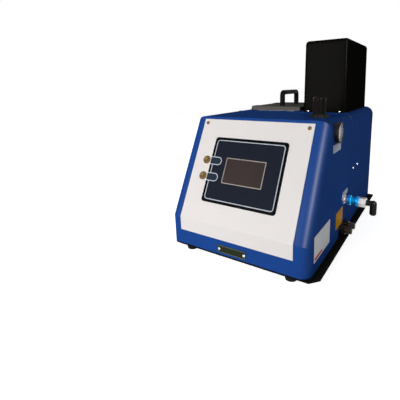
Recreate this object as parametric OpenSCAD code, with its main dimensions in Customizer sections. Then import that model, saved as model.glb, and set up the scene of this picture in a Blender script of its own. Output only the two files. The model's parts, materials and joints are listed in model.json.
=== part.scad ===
// Bench-top hot melt glue unit: a heated tank with a side-hinged lid, an air-driven
// piston pump under a tall cover, and a sloping control panel on a bent sheet hood.
// Millimetres. +Z up, the front faces -Y, the air controls are on the +X side.

/* [Cabinet] */
// Width across the hood
cabinet_w = 336; // [326:1:380]
// Depth from the front face to the rear face
cabinet_d = 550; // [490:1:600]
// Height of the hood above the base plate
cabinet_h = 282; // [266:1:310]
// Height of the upright strip at the foot of the front
front_rise = 65; // [56:1:80]
// How far the sloping front leans back
front_lean = 112; // [95:1:125]
// Radius of the bends along the sloping front
slope_r = 22; // [14:1:24]
// Radius of the bends along the top
top_r = 23; // [14:1:24]
// Radius of the upright corners at the foot of the front
corner_r = 21; // [14:1:24]
// Thickness of the hood's sheet
sheet_t = 2; // [1:0.5:3]
// Distance from the front face to the seam between the two hoods
seam_y = 285; // [272:1:288]
// Gap left open along the seam
seam_gap = 1; // [0.5:0.1:2]
// Depth of the lip that the rear hood tucks under the front hood
lap_d = 12; // [6:1:18]

/* [Base] */
// Thickness of the base plate
base_t = 4; // [3:0.5:8]
// How far the base plate stands out on the right
base_flange = 16; // [10:1:30]
// Height of the rubber feet
foot_h = 15; // [10:1:30]
// Diameter of the rubber feet
foot_d = 30; // [24:1:40]
// Foot centre from the side of the hood
foot_in_x = 43; // [30:1:60]
// Foot centre from the front and rear faces
foot_in_y = 22; // [20:1:40]

/* [Front panel] */
// Width of the white panel
panel_w = 274; // [262:1:284]
// Thickness of the white panel
panel_t = 1.5; // [1:0.5:3]
// Gap from the panel's upper edge to the top bend
panel_gap = 7; // [4:1:12]
// How far the panel wraps down the upright strip
panel_drop = 31; // [20:1:36]
// Panel screw centre from the panel's edges
panel_screw_in = 10; // [8:1:12]
// Margin of the hood's access opening inside the panel's edge
access_in = 20; // [17:1:24]
// Width of the control overlay
overlay_w = 183; // [160:1:183]
// Height of the control overlay
overlay_h = 150; // [130:1:160]
// Thickness of the control overlay
overlay_t = 0.5; // [0.3:0.1:1]
// Corner radius of the control overlay
overlay_r = 7; // [3:1:12]
// Width of the touch screen
screen_w = 95; // [80:1:120]
// Height of the touch screen
screen_h = 54; // [45:1:70]
// Depth of the screen's housing behind the panel
screen_deep = 28; // [20:1:40]
// Width of the bright frame round the screen
screen_frame_w = 2; // [1:0.5:4]
// Screen centre above the bend, along the slope
screen_s = 118.5; // [110:0.5:125]
// Push button centre, across from the middle
button_x = -103; // [-108:1:-102]
// Distance between the two push buttons
button_pitch = 37.5; // [30:0.5:60]
// Diameter of a push button's head
button_head_d = 19; // [18:0.5:22]
// Diameter of a push button's barrel
button_barrel_d = 16; // [15:0.5:17]
// Travel of a push button
button_travel = 2.2; // [1.5:0.1:3]
// Width of the name plate
name_w = 69; // [50:1:90]
// Height of the name plate
name_h = 17; // [12:1:20]

/* [Air controls] */
// Regulator axis from the front face
regulator_y = 180; // [170:1:190]
// Regulator axis from the right side
regulator_in = 48; // [46:1:56]
// Diameter of the regulator knob
knob_d = 28; // [24:1:34]
// Height of the regulator knob
knob_h = 37; // [28:1:45]
// Diameter of the regulator's ring nut
ring_nut_d = 40; // [38:1:46]
// Height of the regulator's ring nut
ring_nut_h = 6; // [4:0.5:8]
// Diameter of the pressure gauge
gauge_d = 43; // [40:1:50]
// How far the gauge stands out
gauge_proud = 9; // [8:0.5:12]
// Gauge centre from the front face
gauge_y = 150; // [140:1:180]
// Gauge centre below the top of the hood
gauge_drop = 27; // [26:1:40]
// Slide valve axis from the front face
valve_y = 228; // [225:1:240]
// Slide valve axis above the base plate
valve_up = 86; // [84:1:110]
// Diameter of the slide valve's sleeve
sleeve_d = 23; // [20:1:28]
// Length of the slide valve's sleeve
sleeve_l = 26; // [20:1:32]
// Travel of the slide valve's sleeve
sleeve_travel = 5; // [3:0.5:8]
// Diameter of the air tube
air_tube_d = 8; // [6:0.5:8]
// Diameter of the elbow fitting
elbow_d = 15; // [14:0.5:18]
// Length of the elbow's leg below its axis
elbow_leg = 24; // [20:1:30]

/* [Tank] */
// Gap from the seam to the tank lid
lid_gap = 33; // [29:1:60]
// Height of the tank lid
lid_h = 10; // [9:0.5:14]
// Thickness of the lid's sheet
lid_t = 3; // [2:0.5:4]
// Clear depth of the tank
tank_deep = 203; // [150:1:205]
// Wall of the tank
tank_wall = 8; // [6:0.5:10]
// Thickness of the tank's heated floor
tank_floor = 22; // [20:1:26]
// Corner radius inside the tank
tank_r = 18; // [12:1:24]
// Height of the melting fins on the tank floor
fin_h = 30; // [15:1:45]
// Thickness of the insulating jacket
jacket_t = 8; // [4:1:9]
// Length of the lid handle
handle_l = 120; // [90:1:150]
// Height of the lid handle
handle_h = 45; // [35:1:55]
// Width of the lid handle
handle_w = 13; // [10:1:18]
// Thickness of the handle's grip bar
handle_t = 11; // [9:1:14]

/* [Pump] */
// Width of the pump cover
cover_w = 114; // [106:1:124]
// Gap from the seam to the pump cover
cover_gap = 27; // [24:1:60]
// Height of the pump cover
cover_h = 180; // [165:1:220]
// Edge radius of the pump cover
cover_r = 9; // [5:1:14]
// Wall of the pump cover
cover_t = 2.5; // [1.5:0.5:4]
// How far each side of the pump cover leans in
cover_lean = 2; // [0:0.5:4]
// Bore of the air cylinder
air_bore = 80; // [60:1:82]
// Stroke of the pump
pump_stroke = 50; // [30:1:58]
// Diameter of the piston rod
rod_d = 16; // [12:1:20]
// Diameter of the pump's plunger
plunger_d = 20; // [16:1:26]

/* [Glue outlet] */
// Width of the glue manifold
manifold_w = 90; // [80:1:100]
// Height of the glue manifold
manifold_h = 35; // [34:1:45]
// Thread diameter of the hose nipples
nipple_d = 14.3; // [12:0.1:16]
// Distance between the hose nipples
nipple_pitch = 30; // [28:1:36]
// Width of the notch for the hoses
notch_w = 65; // [62:1:70]
// Height of the notch for the hoses
notch_h = 27; // [26:1:40]

/* [Electrics] */
// Length of the power supply
supply_d = 160; // [120:1:170]
// Length of the control board
board_d = 140; // [110:1:160]
// Bore of the cable gland
gland_bore_d = 10; // [8:0.5:12]

/* [Hidden] */
$fn = 48;
// Overshoot of a cutting tool past the face that it cuts
over = 1;
// Gap between neighbours that move past each other or must not press
fit_gap = 0.3;
// Radial clearance of a turning or sliding shaft
run_gap = 0.08;
// Radial clearance of a screw in its hole
screw_gap = 0.25;

// Main levels and planes
side_x = cabinet_w / 2;
deck_z = foot_h + base_t;
kink_z = deck_z + front_rise;
top_z = deck_z + cabinet_h;
under_z = top_z - sheet_t;
slope_rise = cabinet_h - front_rise;
slope_a = atan2(slope_rise, front_lean);
slope_l = norm([front_lean, slope_rise]);
long_cut = cabinet_d + cabinet_h;

// Screws: shank, head diameter and head height of the small and the middle size
small_screw = [3, 5.6, 1.8];
panel_screw = [4, 8, 2.6];
foot_screw = [5, 10, 3];
screw_l = 10;
screw_past = 2;

// Feet
foot_rim = 3;
foot_recess = 6;

// Lip at the seam
lap_gap = 0.3;

// Front panel layout, measured along the slope from the bend
panel_top = slope_l - panel_gap;
access_w = panel_w - 2 * access_in;
access_lo = access_in;
access_hi = panel_top - access_in;
panel_fold = panel_t * tan((90 - slope_a) / 2);
button_rim = 2;
button_deep = 20;
button_cap_l = 9;
button_cap_proud = 1;
button_nut_h = 4;
button_nut_af = 20;
button_wall = 1.5;
button_bore_d = button_barrel_d - 2 * button_wall;
button_dish = 2;
housing_in = 6;
name_up = 13.5;
name_t = 1;
name_screw_in = 4;

// Regulator
regulator_x = side_x - regulator_in;
regulator_box = 42;
regulator_h = 62;
regulator_neck_d = 30;
regulator_neck_up = 7;
regulator_port = 36;
knob_stem_d = 10;
knob_stem_l = 14;
knob_ribs = 20;
knob_rib_d = 3;
knob_dome = 4;
ring_nut_ribs = 12;
body_r = 4;

// Gauge
gauge_z = top_z - gauge_drop;
gauge_rim = 2.5;
gauge_body_d = gauge_d - 2 * gauge_rim;
gauge_body_l = 24;
gauge_bezel = 4;
gauge_cup_d = gauge_d - 2 * gauge_bezel;
gauge_lens_in = 3;
gauge_lens_d = gauge_d - 2 * gauge_lens_in;
gauge_cup_z = 2;
gauge_dial_t = 0.8;
gauge_lens_t = 1.6;
gauge_edge_r = 1;
gauge_lens_sunk = 2.2;
gauge_lens_z = gauge_proud - gauge_lens_sunk;
needle_pin_d = 2.4;
needle_pin_l = 5;
needle_t = 0.8;
needle_short = 4;
needle_l = gauge_cup_d / 2 - needle_short;
needle_tail = 5;
needle_w = 1.8;
needle_hub_d = 4.6;
needle_rest_a = 150;

// Slide valve and elbow, measured outwards from the right wall
valve_z = deck_z + valve_up;
bulkhead_d = 16;
bulkhead_l = 26;
bulkhead_collar = 3.5;
bulkhead_af = 20;
bulkhead_nut = 5;
bulkhead_nut_af = 23;
valve_tube_d = 15;
valve_bore_d = 8;
valve_shoulder = 1.5;
valve_shoulder_d = 18;
sleeve_stop = bulkhead_collar + valve_shoulder + fit_gap;
sleeve_rest = sleeve_stop + sleeve_travel;
valve_hex_z = sleeve_rest + sleeve_l + fit_gap;
valve_hex_l = 15;
valve_hex_af = 20;
valve_end = valve_hex_z + valve_hex_l;
sleeve_end = 7;
sleeve_waist = 2;
sleeve_edge = 1;
sleeve_groove = 1;
elbow_stem_d = 10;
elbow_stem_l = 10;
elbow_turn = valve_end + fit_gap + elbow_d;
elbow_step = 1;
elbow_neck_d = elbow_d - 2 * elbow_step;
elbow_bore_l = 16;
collet_wall = 1.5;
collet_d = air_tube_d + 2 * collet_wall;
collet_l = 7;
collet_in = 4.5;

// Air tubes inside the hood
tube_bend = 16;
tube_gap = 0.1;
tube_side = 10;

// Pump cover and lid share the top of the rear hood
rear_margin = 10;
rear_room = cabinet_d - rear_margin - seam_y;
cover_in = 22;
cover_d = rear_room - cover_gap;
cover_x = side_x - cover_in - cover_w / 2;
cover_y = cabinet_d - rear_margin - cover_d / 2;
hinge_strip = 12;
lid_cover_gap = 12;
strip_in = 22;
lid_d = rear_room - lid_gap;
lid_x0 = strip_in + hinge_strip - side_x;
lid_x1 = cover_x - cover_w / 2 - lid_cover_gap;
lid_w = lid_x1 - lid_x0;
lid_x = (lid_x0 + lid_x1) / 2;
lid_y = cabinet_d - rear_margin - lid_d / 2;
lid_lift = 1;
lid_r = 8;
lid_z = top_z + lid_lift;
lid_top = lid_z + lid_h;
handle_leg = 20;
handle_r = 12;

// Hinge
hinge_x = strip_in + hinge_strip / 2 - side_x;
hinge_up = 6.5;
hinge_z = top_z + hinge_up;
hinge_pin_d = 5;
hinge_eye_r = 4.8;
hinge_knuckle = 22;
hinge_ear = 6;
hinge_base_t = 1.2;
hinge_in = 40;
hinge_span = lid_d / 2 - hinge_in;
pin_head_d = 8;
pin_head_t = 1.5;

// Tank
rim_proud = 3;
rim_gap = 2;
tank_w = lid_w - 2 * (lid_t + rim_gap);
tank_d = lid_d - 2 * (lid_t + rim_gap);
rim_z = top_z + rim_proud;
floor_z = rim_z - tank_deep;
tank_bead = 0.3;
tank_z = floor_z - tank_floor;
tank_front = lid_y - tank_d / 2;
tank_right = lid_x + tank_w / 2;
fin_t = 6;
fin_count = 5;
fin_end = 14;
seal_w = 6;
jacket_gap = 8;
jacket_top = under_z - jacket_gap;
jacket_notch = 2;
feed_d = 22;
feed_bore_d = 14;
feed_flange_d = 34;
feed_flange_t = 4;
feed_z = floor_z + feed_d / 2;
heater_d = 12;
heater_short = 42;
heater_l = tank_d - heater_short;
heater_out = 8;
heater_pitch = 70;
probe_d = 6;
probe_l = 40;
thermostat_d = 16;
thermostat_t = 7;
standoff_d = 14;
standoff_in = 22;

// Manifold
manifold_lift = 6;
manifold_z = deck_z + manifold_lift;
manifold_top = manifold_z + manifold_h;
notch_behind = 2;
notch_y = valve_y + notch_behind;
manifold_front = notch_y - notch_w / 2;
pump_block = 60;
manifold_d = cover_y + pump_block / 2 - manifold_front;
filter_bore_d = 26;
filter_l = 110;
filter_head_af = 30;
filter_head_l = 14;
filter_wall = 1.5;
nipple_up = 15;
nipple_z = deck_z + nipple_up;
nipple_shank = 2;
filter_side = 12;
glue_way_d = 8;
nipple_hex_af = 19;
nipple_hex_l = 10;
nipple_thread_l = 14;
nipple_bore_d = 8;
nipple_seat_d = 12;
nipple_seat_l = 12;
nipple_clear = 2;

// Pump, measured up from the manifold
pump_stand = 17;
plate_t = 14;
piston_t = 20;
piston_end_gap = 15;
cyl_wall = 3.5;
cyl_d = air_bore + 2 * cyl_wall;
plate_past = 3;
plate_w = cyl_d + plate_past;
plate_r = 5;
cyl_z = top_z + pump_stand;
cyl_l = pump_stroke + piston_t + 2 * piston_end_gap;
tube_z = cyl_z + plate_t;
head_z = tube_z + cyl_l;
piston_z = tube_z + piston_end_gap;
coupling_d = 30;
coupling_h = 24;
coupling_gap = 8;
gland_h = 16;
gland_d = 40;
barrel_top = cyl_z - pump_stroke - coupling_h - 2 * coupling_gap - gland_h;
coupling_z = barrel_top + gland_h + coupling_gap;
barrel_d = 56;
flange_w = 76;
flange_t = 12;
column_d = 10;
column_at = 30;
block_past = 4;
block_top = feed_z + feed_flange_d / 2 + block_past;
plunger_up = 30;
plunger_z = manifold_top + plunger_up;
piston_neck_d = 12;
piston_nut_h = 8;
piston_nut_af = 19;
seal_groove = 4;
seal_deep = 3;
tie_d = 8;
tie_in = 7;
tie_nut_h = 7;
tie_nut_af = 13;
shift_w = 40;
shift_d = 34;
tab_w = 14;
tab_d = 10;
tab_t = 2;
tab_in = 9;
pump_slot_side = 5;
pump_slot_w = plate_w - 2 * pump_slot_side;
pump_slot_in = 4;
pump_slot_rear = 20;
pump_slot_y = cover_y - cover_d / 2 + pump_slot_in;
pump_slot_d = cover_y + plate_w / 2 + pump_slot_rear - pump_slot_y;

// Inner walls and electrics
shield_behind = 15;
shield_y = seam_y + shield_behind;
shield_t = 1.5;
shield_in = 9;
shield_foot = 12;
shield_gap = 2;
supply_w = 98;
supply_h = 42;
supply_in = 70;
supply_x = supply_in - side_x;
supply_y = 175;
supply_slots = 7;
supply_slot = [49, 4, 3];
supply_slot_pitch = 12;
board_w = 70;
board_t = 1.6;
board_lift = 10;
board_gap = 8;
board_x = supply_x + (supply_w + board_w) / 2 + board_gap;
board_y = manifold_front - filter_head_l - board_gap - board_d / 2;
spacer_d = 6;
spacer_in = 5;
connector = [12, 112, 14];
coil = [24, 20, 16];
coil_pitch = 30;
relay = [58, 45, 26];
relay_pitch = 47.6;
relay_behind = 53;
relay_y = seam_y + relay_behind;
relay_up = 142;
relay_z = deck_z + relay_up;
terminal = [56, 24, 28];
terminal_in = 60;
terminal_x = side_x - terminal_in;
terminal_y = (cover_y + pump_block / 2 + cabinet_d) / 2;
terminal_ways = 6;
terminal_slot = [1, 10];
gland_x = terminal_x;
gland_up = 50;
gland_z = deck_z + gland_up;
gland_edge = 1;
gland_lip = 3;
gland_way_d = 14;
gland_thread_d = 22;
gland_hex_af = 27;
gland_hex_l = 6;
gland_cap_l = 16;
gland_in = 12;
vent_slots = 6;
vent_w = 60;
vent_h = 5;
vent_r = 2;
vent_pitch = 14;
vent_up = 150;
vent_z = deck_z + vent_up;

// The origin lies under the middle of everything that stands out
reach_right = max(side_x + elbow_turn + elbow_d / 2, side_x + base_flange);
reach_rear = cabinet_d + gland_hex_l + gland_cap_l;
reach_front = max(panel_t, name_t + small_screw[2]);
origin_x = (reach_right - side_x) / 2;
origin_y = (reach_rear - reach_front) / 2;

// Colours
hood_blue = [0.09, 0.25, 0.51];
panel_white = [0.91, 0.89, 0.88];
overlay_navy = [0.12, 0.15, 0.19];
dark_metal = [0.15, 0.18, 0.14];
black = [0.06, 0.06, 0.06];
steel = [0.75, 0.75, 0.76];
valve_blue = [0.12, 0.63, 0.87];

// Moves the machine so that its origin lies on the floor under its middle
module stand() translate([-origin_x, -origin_y, 0]) children();

// Draws on the sloping front: x across, y up the slope, z outwards
module on_slope() translate([0, 0, kink_z]) rotate([slope_a, 0, 0]) children();

// Draws on the right wall: x to the rear, y up, z outwards
module on_right_wall(y, z) translate([side_x, y, z]) rotate([90, 0, 90]) children();

// Draws on the upright front strip: x across, y up, z outwards
module on_front(z) translate([0, 0, z]) rotate([90, 0, 0]) children();

module rounded_rect(w, h, r) {
    square([w - 2 * r, h], center = true);
    square([w, h - 2 * r], center = true);
    for (sx = [-1, 1], sy = [-1, 1])
        translate([sx * (w / 2 - r), sy * (h / 2 - r)]) circle(r);
}

module rounded_box(w, d, h, r) linear_extrude(h) rounded_rect(w, d, r);

// A strip from y = 0 to y = d whose two corners at y = 0 are round
module shoulders(w, d, r) {
    translate([-w / 2, r]) square([w, d - r]);
    translate([r - w / 2, 0]) square([w - 2 * r, d]);
    for (sx = [-1, 1]) translate([sx * (w / 2 - r), r]) circle(r);
}

module hex(af, h) cylinder(d = af / cos(30), h = h, $fn = 6);

module ring(d_out, d_in, h) difference() {
    cylinder(d = d_out, h = h);
    translate([0, 0, -over]) cylinder(d = d_in, h = h + 2 * over);
}

// A pan head screw seated at z = 0 with its shank below
module screw(size, shank_l) {
    rotate_extrude() {
        square([size[1] / 2, size[2] / 2]);
        square([size[1] / 2 - size[2] / 2, size[2]]);
        translate([size[1] / 2 - size[2] / 2, size[2] / 2]) circle(size[2] / 2);
    }
    translate([0, 0, -shank_l]) cylinder(d = size[0], h = shank_l);
}

module screw_hole(size, depth) translate([0, 0, -depth]) cylinder(d = size[0] + 2 * screw_gap, h = 2 * depth);

// Base plate, feet and their screws
module at_feet() {
    for (sx = [-1, 1], y = [foot_in_y, cabinet_d - foot_in_y])
        translate([sx * (side_x - foot_in_x), y, 0]) children();
}

module base_plate() color(black) difference() {
    translate([0, 0, foot_h]) linear_extrude(base_t) {
        translate([corner_r - side_x, 0]) square([cabinet_w + base_flange - corner_r, cabinet_d]);
        translate([-side_x, corner_r]) square([cabinet_w, cabinet_d - corner_r]);
        translate([corner_r - side_x, corner_r]) circle(corner_r);
    }
    at_feet() translate([0, 0, deck_z]) screw_hole(foot_screw, base_t + over);
}

module rubber_feet() color(black) at_feet() rotate_extrude() polygon([
    [foot_screw[0] / 2 + screw_gap, foot_recess],
    [foot_screw[1] / 2 + foot_rim / 2, foot_recess],
    [foot_screw[1] / 2 + foot_rim / 2, 0],
    [foot_d / 2 - foot_rim, 0],
    [foot_d / 2, foot_h],
    [foot_screw[0] / 2 + screw_gap, foot_h]
]);

module foot_screws() color(steel) at_feet() translate([0, 0, foot_recess]) mirror([0, 0, 1])
    screw(foot_screw, foot_h + base_t - foot_recess + screw_past);

// Hood: three round-shouldered prisms meet in the front form, one runs along the top
module arch(inset, from_y, to_y, drop) translate([0, from_y, top_z - inset]) rotate([-90, 0, 0])
    linear_extrude(to_y - from_y) shoulders(cabinet_w - 2 * inset, drop, top_r - inset);

module front_form(inset, past) intersection() {
    translate([0, inset, deck_z - past]) linear_extrude(cabinet_h + past)
        shoulders(cabinet_w - 2 * inset, seam_y - inset + past, corner_r - inset);
    on_slope() translate([0, -long_cut, -inset]) rotate([-90, 0, 0]) linear_extrude(2 * long_cut)
        shoulders(cabinet_w - 2 * inset, long_cut, slope_r - inset);
    arch(inset, -over, seam_y + past, cabinet_h + 2 * past);
}

module at_panel_screws() for (sx = [-1, 1])
    on_slope() translate([sx * (panel_w / 2 - panel_screw_in), panel_top - panel_screw_in, 0]) children();

module at_name_screws() for (sx = [-1, 1])
    on_front(deck_z + name_up) translate([sx * (name_w / 2 - name_screw_in), 0, name_t]) children();

module front_hood() color(hood_blue) difference() {
    front_form(0, 0);
    front_form(sheet_t, over);
    on_slope() translate([-access_w / 2, access_lo, -long_cut / 4])
        cube([access_w, access_hi - access_lo, long_cut / 2]);
    at_panel_screws() screw_hole(panel_screw, 2 * sheet_t);
    at_name_screws() screw_hole(small_screw, 3 * sheet_t);
    translate([regulator_x, regulator_y, under_z - over])
        cylinder(d = regulator_neck_d + 2 * fit_gap, h = sheet_t + 2 * over);
    on_right_wall(gauge_y, gauge_z) translate([0, 0, -top_r])
        cylinder(d = gauge_body_d + 2 * fit_gap, h = top_r + over);
    on_right_wall(valve_y, valve_z) translate([0, 0, -sheet_t - over])
        cylinder(d = bulkhead_d + 2 * fit_gap, h = sheet_t + 2 * over);
    translate([side_x - sheet_t - over, notch_y - notch_w / 2, deck_z - over])
        cube([sheet_t + 2 * over, notch_w, notch_h + over]);
}

// Ring of sheet that backs the seam and the lip that reaches under the front hood
module lap_lip() {
    step = sheet_t + lap_gap;
    difference() {
        union() {
            arch(step, seam_y - lap_d, seam_y + seam_gap + over, cabinet_h - step);
            arch(sheet_t / 2, seam_y + seam_gap, seam_y + seam_gap + lap_d, cabinet_h - sheet_t / 2);
        }
        arch(step + sheet_t, seam_y - lap_d - over, seam_y + seam_gap + lap_d + over, cabinet_h);
    }
}

module at_vents() for (i = [0:vent_slots - 1])
    translate([0, cabinet_d, vent_z + (i - (vent_slots - 1) / 2) * vent_pitch]) rotate([90, 0, 0]) children();

module rear_hood() color(hood_blue) {
    difference() {
        arch(0, seam_y + seam_gap, cabinet_d, cabinet_h);
        arch(sheet_t, seam_y + seam_gap - over, cabinet_d - sheet_t, cabinet_h);
        translate([lid_x, lid_y, under_z - over])
            rounded_box(tank_w + 2 * rim_gap, tank_d + 2 * rim_gap, sheet_t + 2 * over, tank_r);
        translate([cover_x - pump_slot_w / 2, pump_slot_y, under_z - over])
            cube([pump_slot_w, pump_slot_d, sheet_t + 2 * over]);
        at_cover_screws() screw_hole(small_screw, 3 * sheet_t);
        at_relay_screws() screw_hole(small_screw, 3 * sheet_t);
        at_vents() translate([0, 0, -over]) rounded_box(vent_w, vent_h, sheet_t + 2 * over, vent_r);
        translate([gland_x, cabinet_d + over, gland_z]) rotate([90, 0, 0])
            cylinder(d = gland_thread_d + 2 * fit_gap, h = sheet_t + 2 * over);
    }
    lap_lip();
}

// White front panel, bent over the edge at the foot of the slope
module panel_profile() {
    up_slope = [cos(slope_a), sin(slope_a)];
    off_slope = [-sin(slope_a), cos(slope_a)];
    bend = [0, kink_z];
    polygon([
        [0, kink_z - panel_drop],
        bend,
        bend + panel_top * up_slope,
        bend + panel_top * up_slope + panel_t * off_slope,
        [-panel_t, kink_z + panel_fold],
        [-panel_t, kink_z - panel_drop]
    ]);
}

module at_buttons() for (side = [-1, 1]) at_button(side) children();

module at_button(side) on_slope() translate([button_x, screen_s + side * button_pitch / 2, panel_t]) children();

module on_screen() on_slope() translate([0, screen_s, 0]) children();

module front_panel() color(panel_white) difference() {
    translate([-panel_w / 2, 0, 0]) rotate([90, 0, 90]) linear_extrude(panel_w) panel_profile();
    at_panel_screws() screw_hole(panel_screw, 2 * panel_t);
    at_buttons() screw_hole([button_barrel_d], 2 * panel_t);
    on_screen() translate([0, 0, -over]) rounded_box(
        screen_w + 2 * fit_gap, screen_h + 2 * fit_gap, panel_t + 2 * over, screen_frame_w / 2);
}

module panel_screws() color(steel) at_panel_screws() translate([0, 0, panel_t]) screw(panel_screw, screw_l);

module control_overlay() color(overlay_navy) on_screen() translate([0, 0, panel_t]) difference() {
    rounded_box(overlay_w, overlay_h, overlay_t, overlay_r);
    translate([0, 0, -over]) rounded_box(screen_w + 2 * screen_frame_w + 2 * fit_gap,
        screen_h + 2 * screen_frame_w + 2 * fit_gap, overlay_t + 2 * over, screen_frame_w);
}

module screen_housing() color(black) on_screen() translate([0, 0, -screen_deep])
    rounded_box(screen_w + 2 * housing_in, screen_h + 2 * housing_in, screen_deep, housing_in / 2);

module screen_frame() color(steel) on_screen() translate([0, 0, panel_t]) difference() {
    rounded_box(screen_w + 2 * screen_frame_w, screen_h + 2 * screen_frame_w, 2 * overlay_t, screen_frame_w);
    translate([0, 0, -over]) rounded_box(
        screen_w + 2 * fit_gap, screen_h + 2 * fit_gap, 2 * overlay_t + 2 * over, screen_frame_w / 2);
}

module screen_glass() color([0.27, 0.23, 0.23]) on_screen()
    rounded_box(screen_w, screen_h, panel_t + overlay_t, screen_frame_w / 2);

module button_barrels() color(steel) at_buttons() {
    button_barrel();
    translate([0, 0, -panel_t - button_nut_h]) difference() {
        hex(button_nut_af, button_nut_h);
        translate([0, 0, -over]) cylinder(d = button_barrel_d + 2 * run_gap, h = button_nut_h + 2 * over);
    }
}

module button_barrel() difference() {
    rotate_extrude() {
        translate([0, -button_deep]) square([button_barrel_d / 2, button_deep]);
        square([button_head_d / 2, button_rim / 2]);
        square([button_head_d / 2 - button_rim / 2, button_rim]);
        translate([button_head_d / 2 - button_rim / 2, button_rim / 2]) circle(button_rim / 2);
    }
    translate([0, 0, button_rim - button_cap_l - button_travel])
        cylinder(d = button_bore_d, h = button_cap_l + button_travel + over);
}

// Round cap with a dished face
module button_cap(side) at_button(side) translate([0, 0, button_rim + button_cap_proud]) difference() {
    translate([0, 0, -button_cap_l]) cylinder(d = button_bore_d - 2 * fit_gap, h = button_cap_l);
    translate([0, 0, button_dish * button_bore_d - button_cap_proud / 2]) sphere(button_dish * button_bore_d);
}

module upper_button() color(steel) button_cap(1);

module lower_button() color(steel) button_cap(-1);

module name_plate() color(dark_metal) difference() {
    on_front(deck_z + name_up) translate([-name_w / 2, -name_h / 2, 0]) cube([name_w, name_h, name_t]);
    at_name_screws() screw_hole(small_screw, 2 * name_t);
}

// Air regulator on the top of the front hood
module at_regulator() translate([regulator_x, regulator_y, top_z]) children();

module regulator_body() color(black) at_regulator() difference() {
    union() {
        translate([0, 0, -sheet_t - regulator_h])
            rounded_box(regulator_box, regulator_box, regulator_h, body_r);
        translate([0, 0, -sheet_t]) cylinder(d = regulator_neck_d, h = sheet_t + regulator_neck_up);
    }
    translate([0, 0, regulator_neck_up - knob_stem_l - over])
        cylinder(d = knob_stem_d + 2 * run_gap, h = knob_stem_l + 2 * over);
}

module regulator_ring_nut() color(black) at_regulator() difference() {
    ring(ring_nut_d, regulator_neck_d + 2 * run_gap, ring_nut_h);
    for (i = [0:ring_nut_ribs - 1]) rotate(i * 360 / ring_nut_ribs)
        translate([ring_nut_d / 2 + knob_rib_d / 4, 0, -over])
            cylinder(d = knob_rib_d, h = ring_nut_h + 2 * over);
}

// Ribbed knob with a rounded top edge
module at_knob() at_regulator() translate([0, 0, regulator_neck_up + fit_gap]) children();

module regulator_knob() color(black) at_knob() difference() {
    union() {
        cylinder(d = knob_d, h = knob_h - knob_dome);
        rotate_extrude() {
            square([knob_d / 2 - knob_dome, knob_h]);
            translate([knob_d / 2 - knob_dome, knob_h - knob_dome]) intersection() {
                circle(knob_dome);
                square(knob_dome);
            }
        }
        translate([0, 0, -knob_stem_l]) cylinder(d = knob_stem_d, h = knob_stem_l + over);
    }
    for (i = [0:knob_ribs - 1]) rotate(i * 360 / knob_ribs)
        translate([knob_d / 2 + knob_rib_d / 4, 0, knob_dome / 2])
            cylinder(d = knob_rib_d, h = knob_h - 3 * knob_dome);
}

// Pressure gauge on the right wall
module at_gauge() on_right_wall(gauge_y, gauge_z) children();

module gauge_case() color(black) at_gauge() difference() {
    union() {
        translate([0, 0, -gauge_body_l]) cylinder(d = gauge_body_d, h = gauge_body_l);
        rotate_extrude() {
            square([gauge_d / 2, gauge_proud - gauge_edge_r]);
            square([gauge_d / 2 - gauge_edge_r, gauge_proud]);
            translate([gauge_d / 2 - gauge_edge_r, gauge_proud - gauge_edge_r]) circle(gauge_edge_r);
        }
    }
    translate([0, 0, gauge_cup_z]) cylinder(d = gauge_cup_d, h = gauge_proud);
    translate([0, 0, gauge_lens_z]) cylinder(d = gauge_lens_d, h = gauge_proud);
    translate([0, 0, gauge_cup_z - needle_pin_l]) cylinder(d = needle_pin_d + 2 * run_gap, h = gauge_proud);
}

module gauge_dial() color("white") at_gauge() translate([0, 0, gauge_cup_z])
    ring(gauge_cup_d - 2 * run_gap, needle_pin_d + 2 * fit_gap, gauge_dial_t);

module gauge_needle() color(black) at_gauge() translate([0, 0, gauge_cup_z + gauge_dial_t + fit_gap]) {
    cylinder(d = needle_hub_d, h = 2 * needle_t);
    translate([0, 0, needle_t - needle_pin_l]) cylinder(d = needle_pin_d, h = needle_pin_l);
    linear_extrude(needle_t) rotate(needle_rest_a) polygon([
        [-needle_tail, -needle_w / 2], [needle_l, 0], [-needle_tail, needle_w / 2]
    ]);
}

module gauge_lens() color([0.8, 0.9, 0.95, 0.4]) at_gauge() translate([0, 0, gauge_lens_z])
    cylinder(d = gauge_lens_d - 2 * run_gap, h = gauge_lens_t);

// Air inlet: bulkhead, hand slide valve and swivel elbow, in line along +X
module at_valve() on_right_wall(valve_y, valve_z) children();

module inlet_bulkhead() color(steel) at_valve() {
    difference() {
        union() {
            translate([0, 0, -bulkhead_l]) cylinder(d = bulkhead_d, h = bulkhead_l);
            hex(bulkhead_af, bulkhead_collar);
        }
        translate([0, 0, -bulkhead_l - over])
            cylinder(d = air_tube_d, h = bulkhead_l + bulkhead_collar + 2 * over);
    }
    translate([0, 0, -sheet_t - bulkhead_nut]) difference() {
        hex(bulkhead_nut_af, bulkhead_nut);
        translate([0, 0, -over]) cylinder(d = bulkhead_d + 2 * run_gap, h = bulkhead_nut + 2 * over);
    }
}

module slide_valve_body() color(steel) at_valve() difference() {
    union() {
        translate([0, 0, bulkhead_collar]) cylinder(d = valve_tube_d, h = valve_end - bulkhead_collar);
        translate([0, 0, bulkhead_collar]) cylinder(d = valve_shoulder_d, h = valve_shoulder);
        translate([0, 0, valve_hex_z]) hex(valve_hex_af, valve_hex_l);
    }
    translate([0, 0, bulkhead_collar - over]) cylinder(d = valve_bore_d, h = valve_end);
    translate([0, 0, valve_end - elbow_stem_l])
        cylinder(d = elbow_stem_d + 2 * run_gap, h = elbow_stem_l + over);
}

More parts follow.
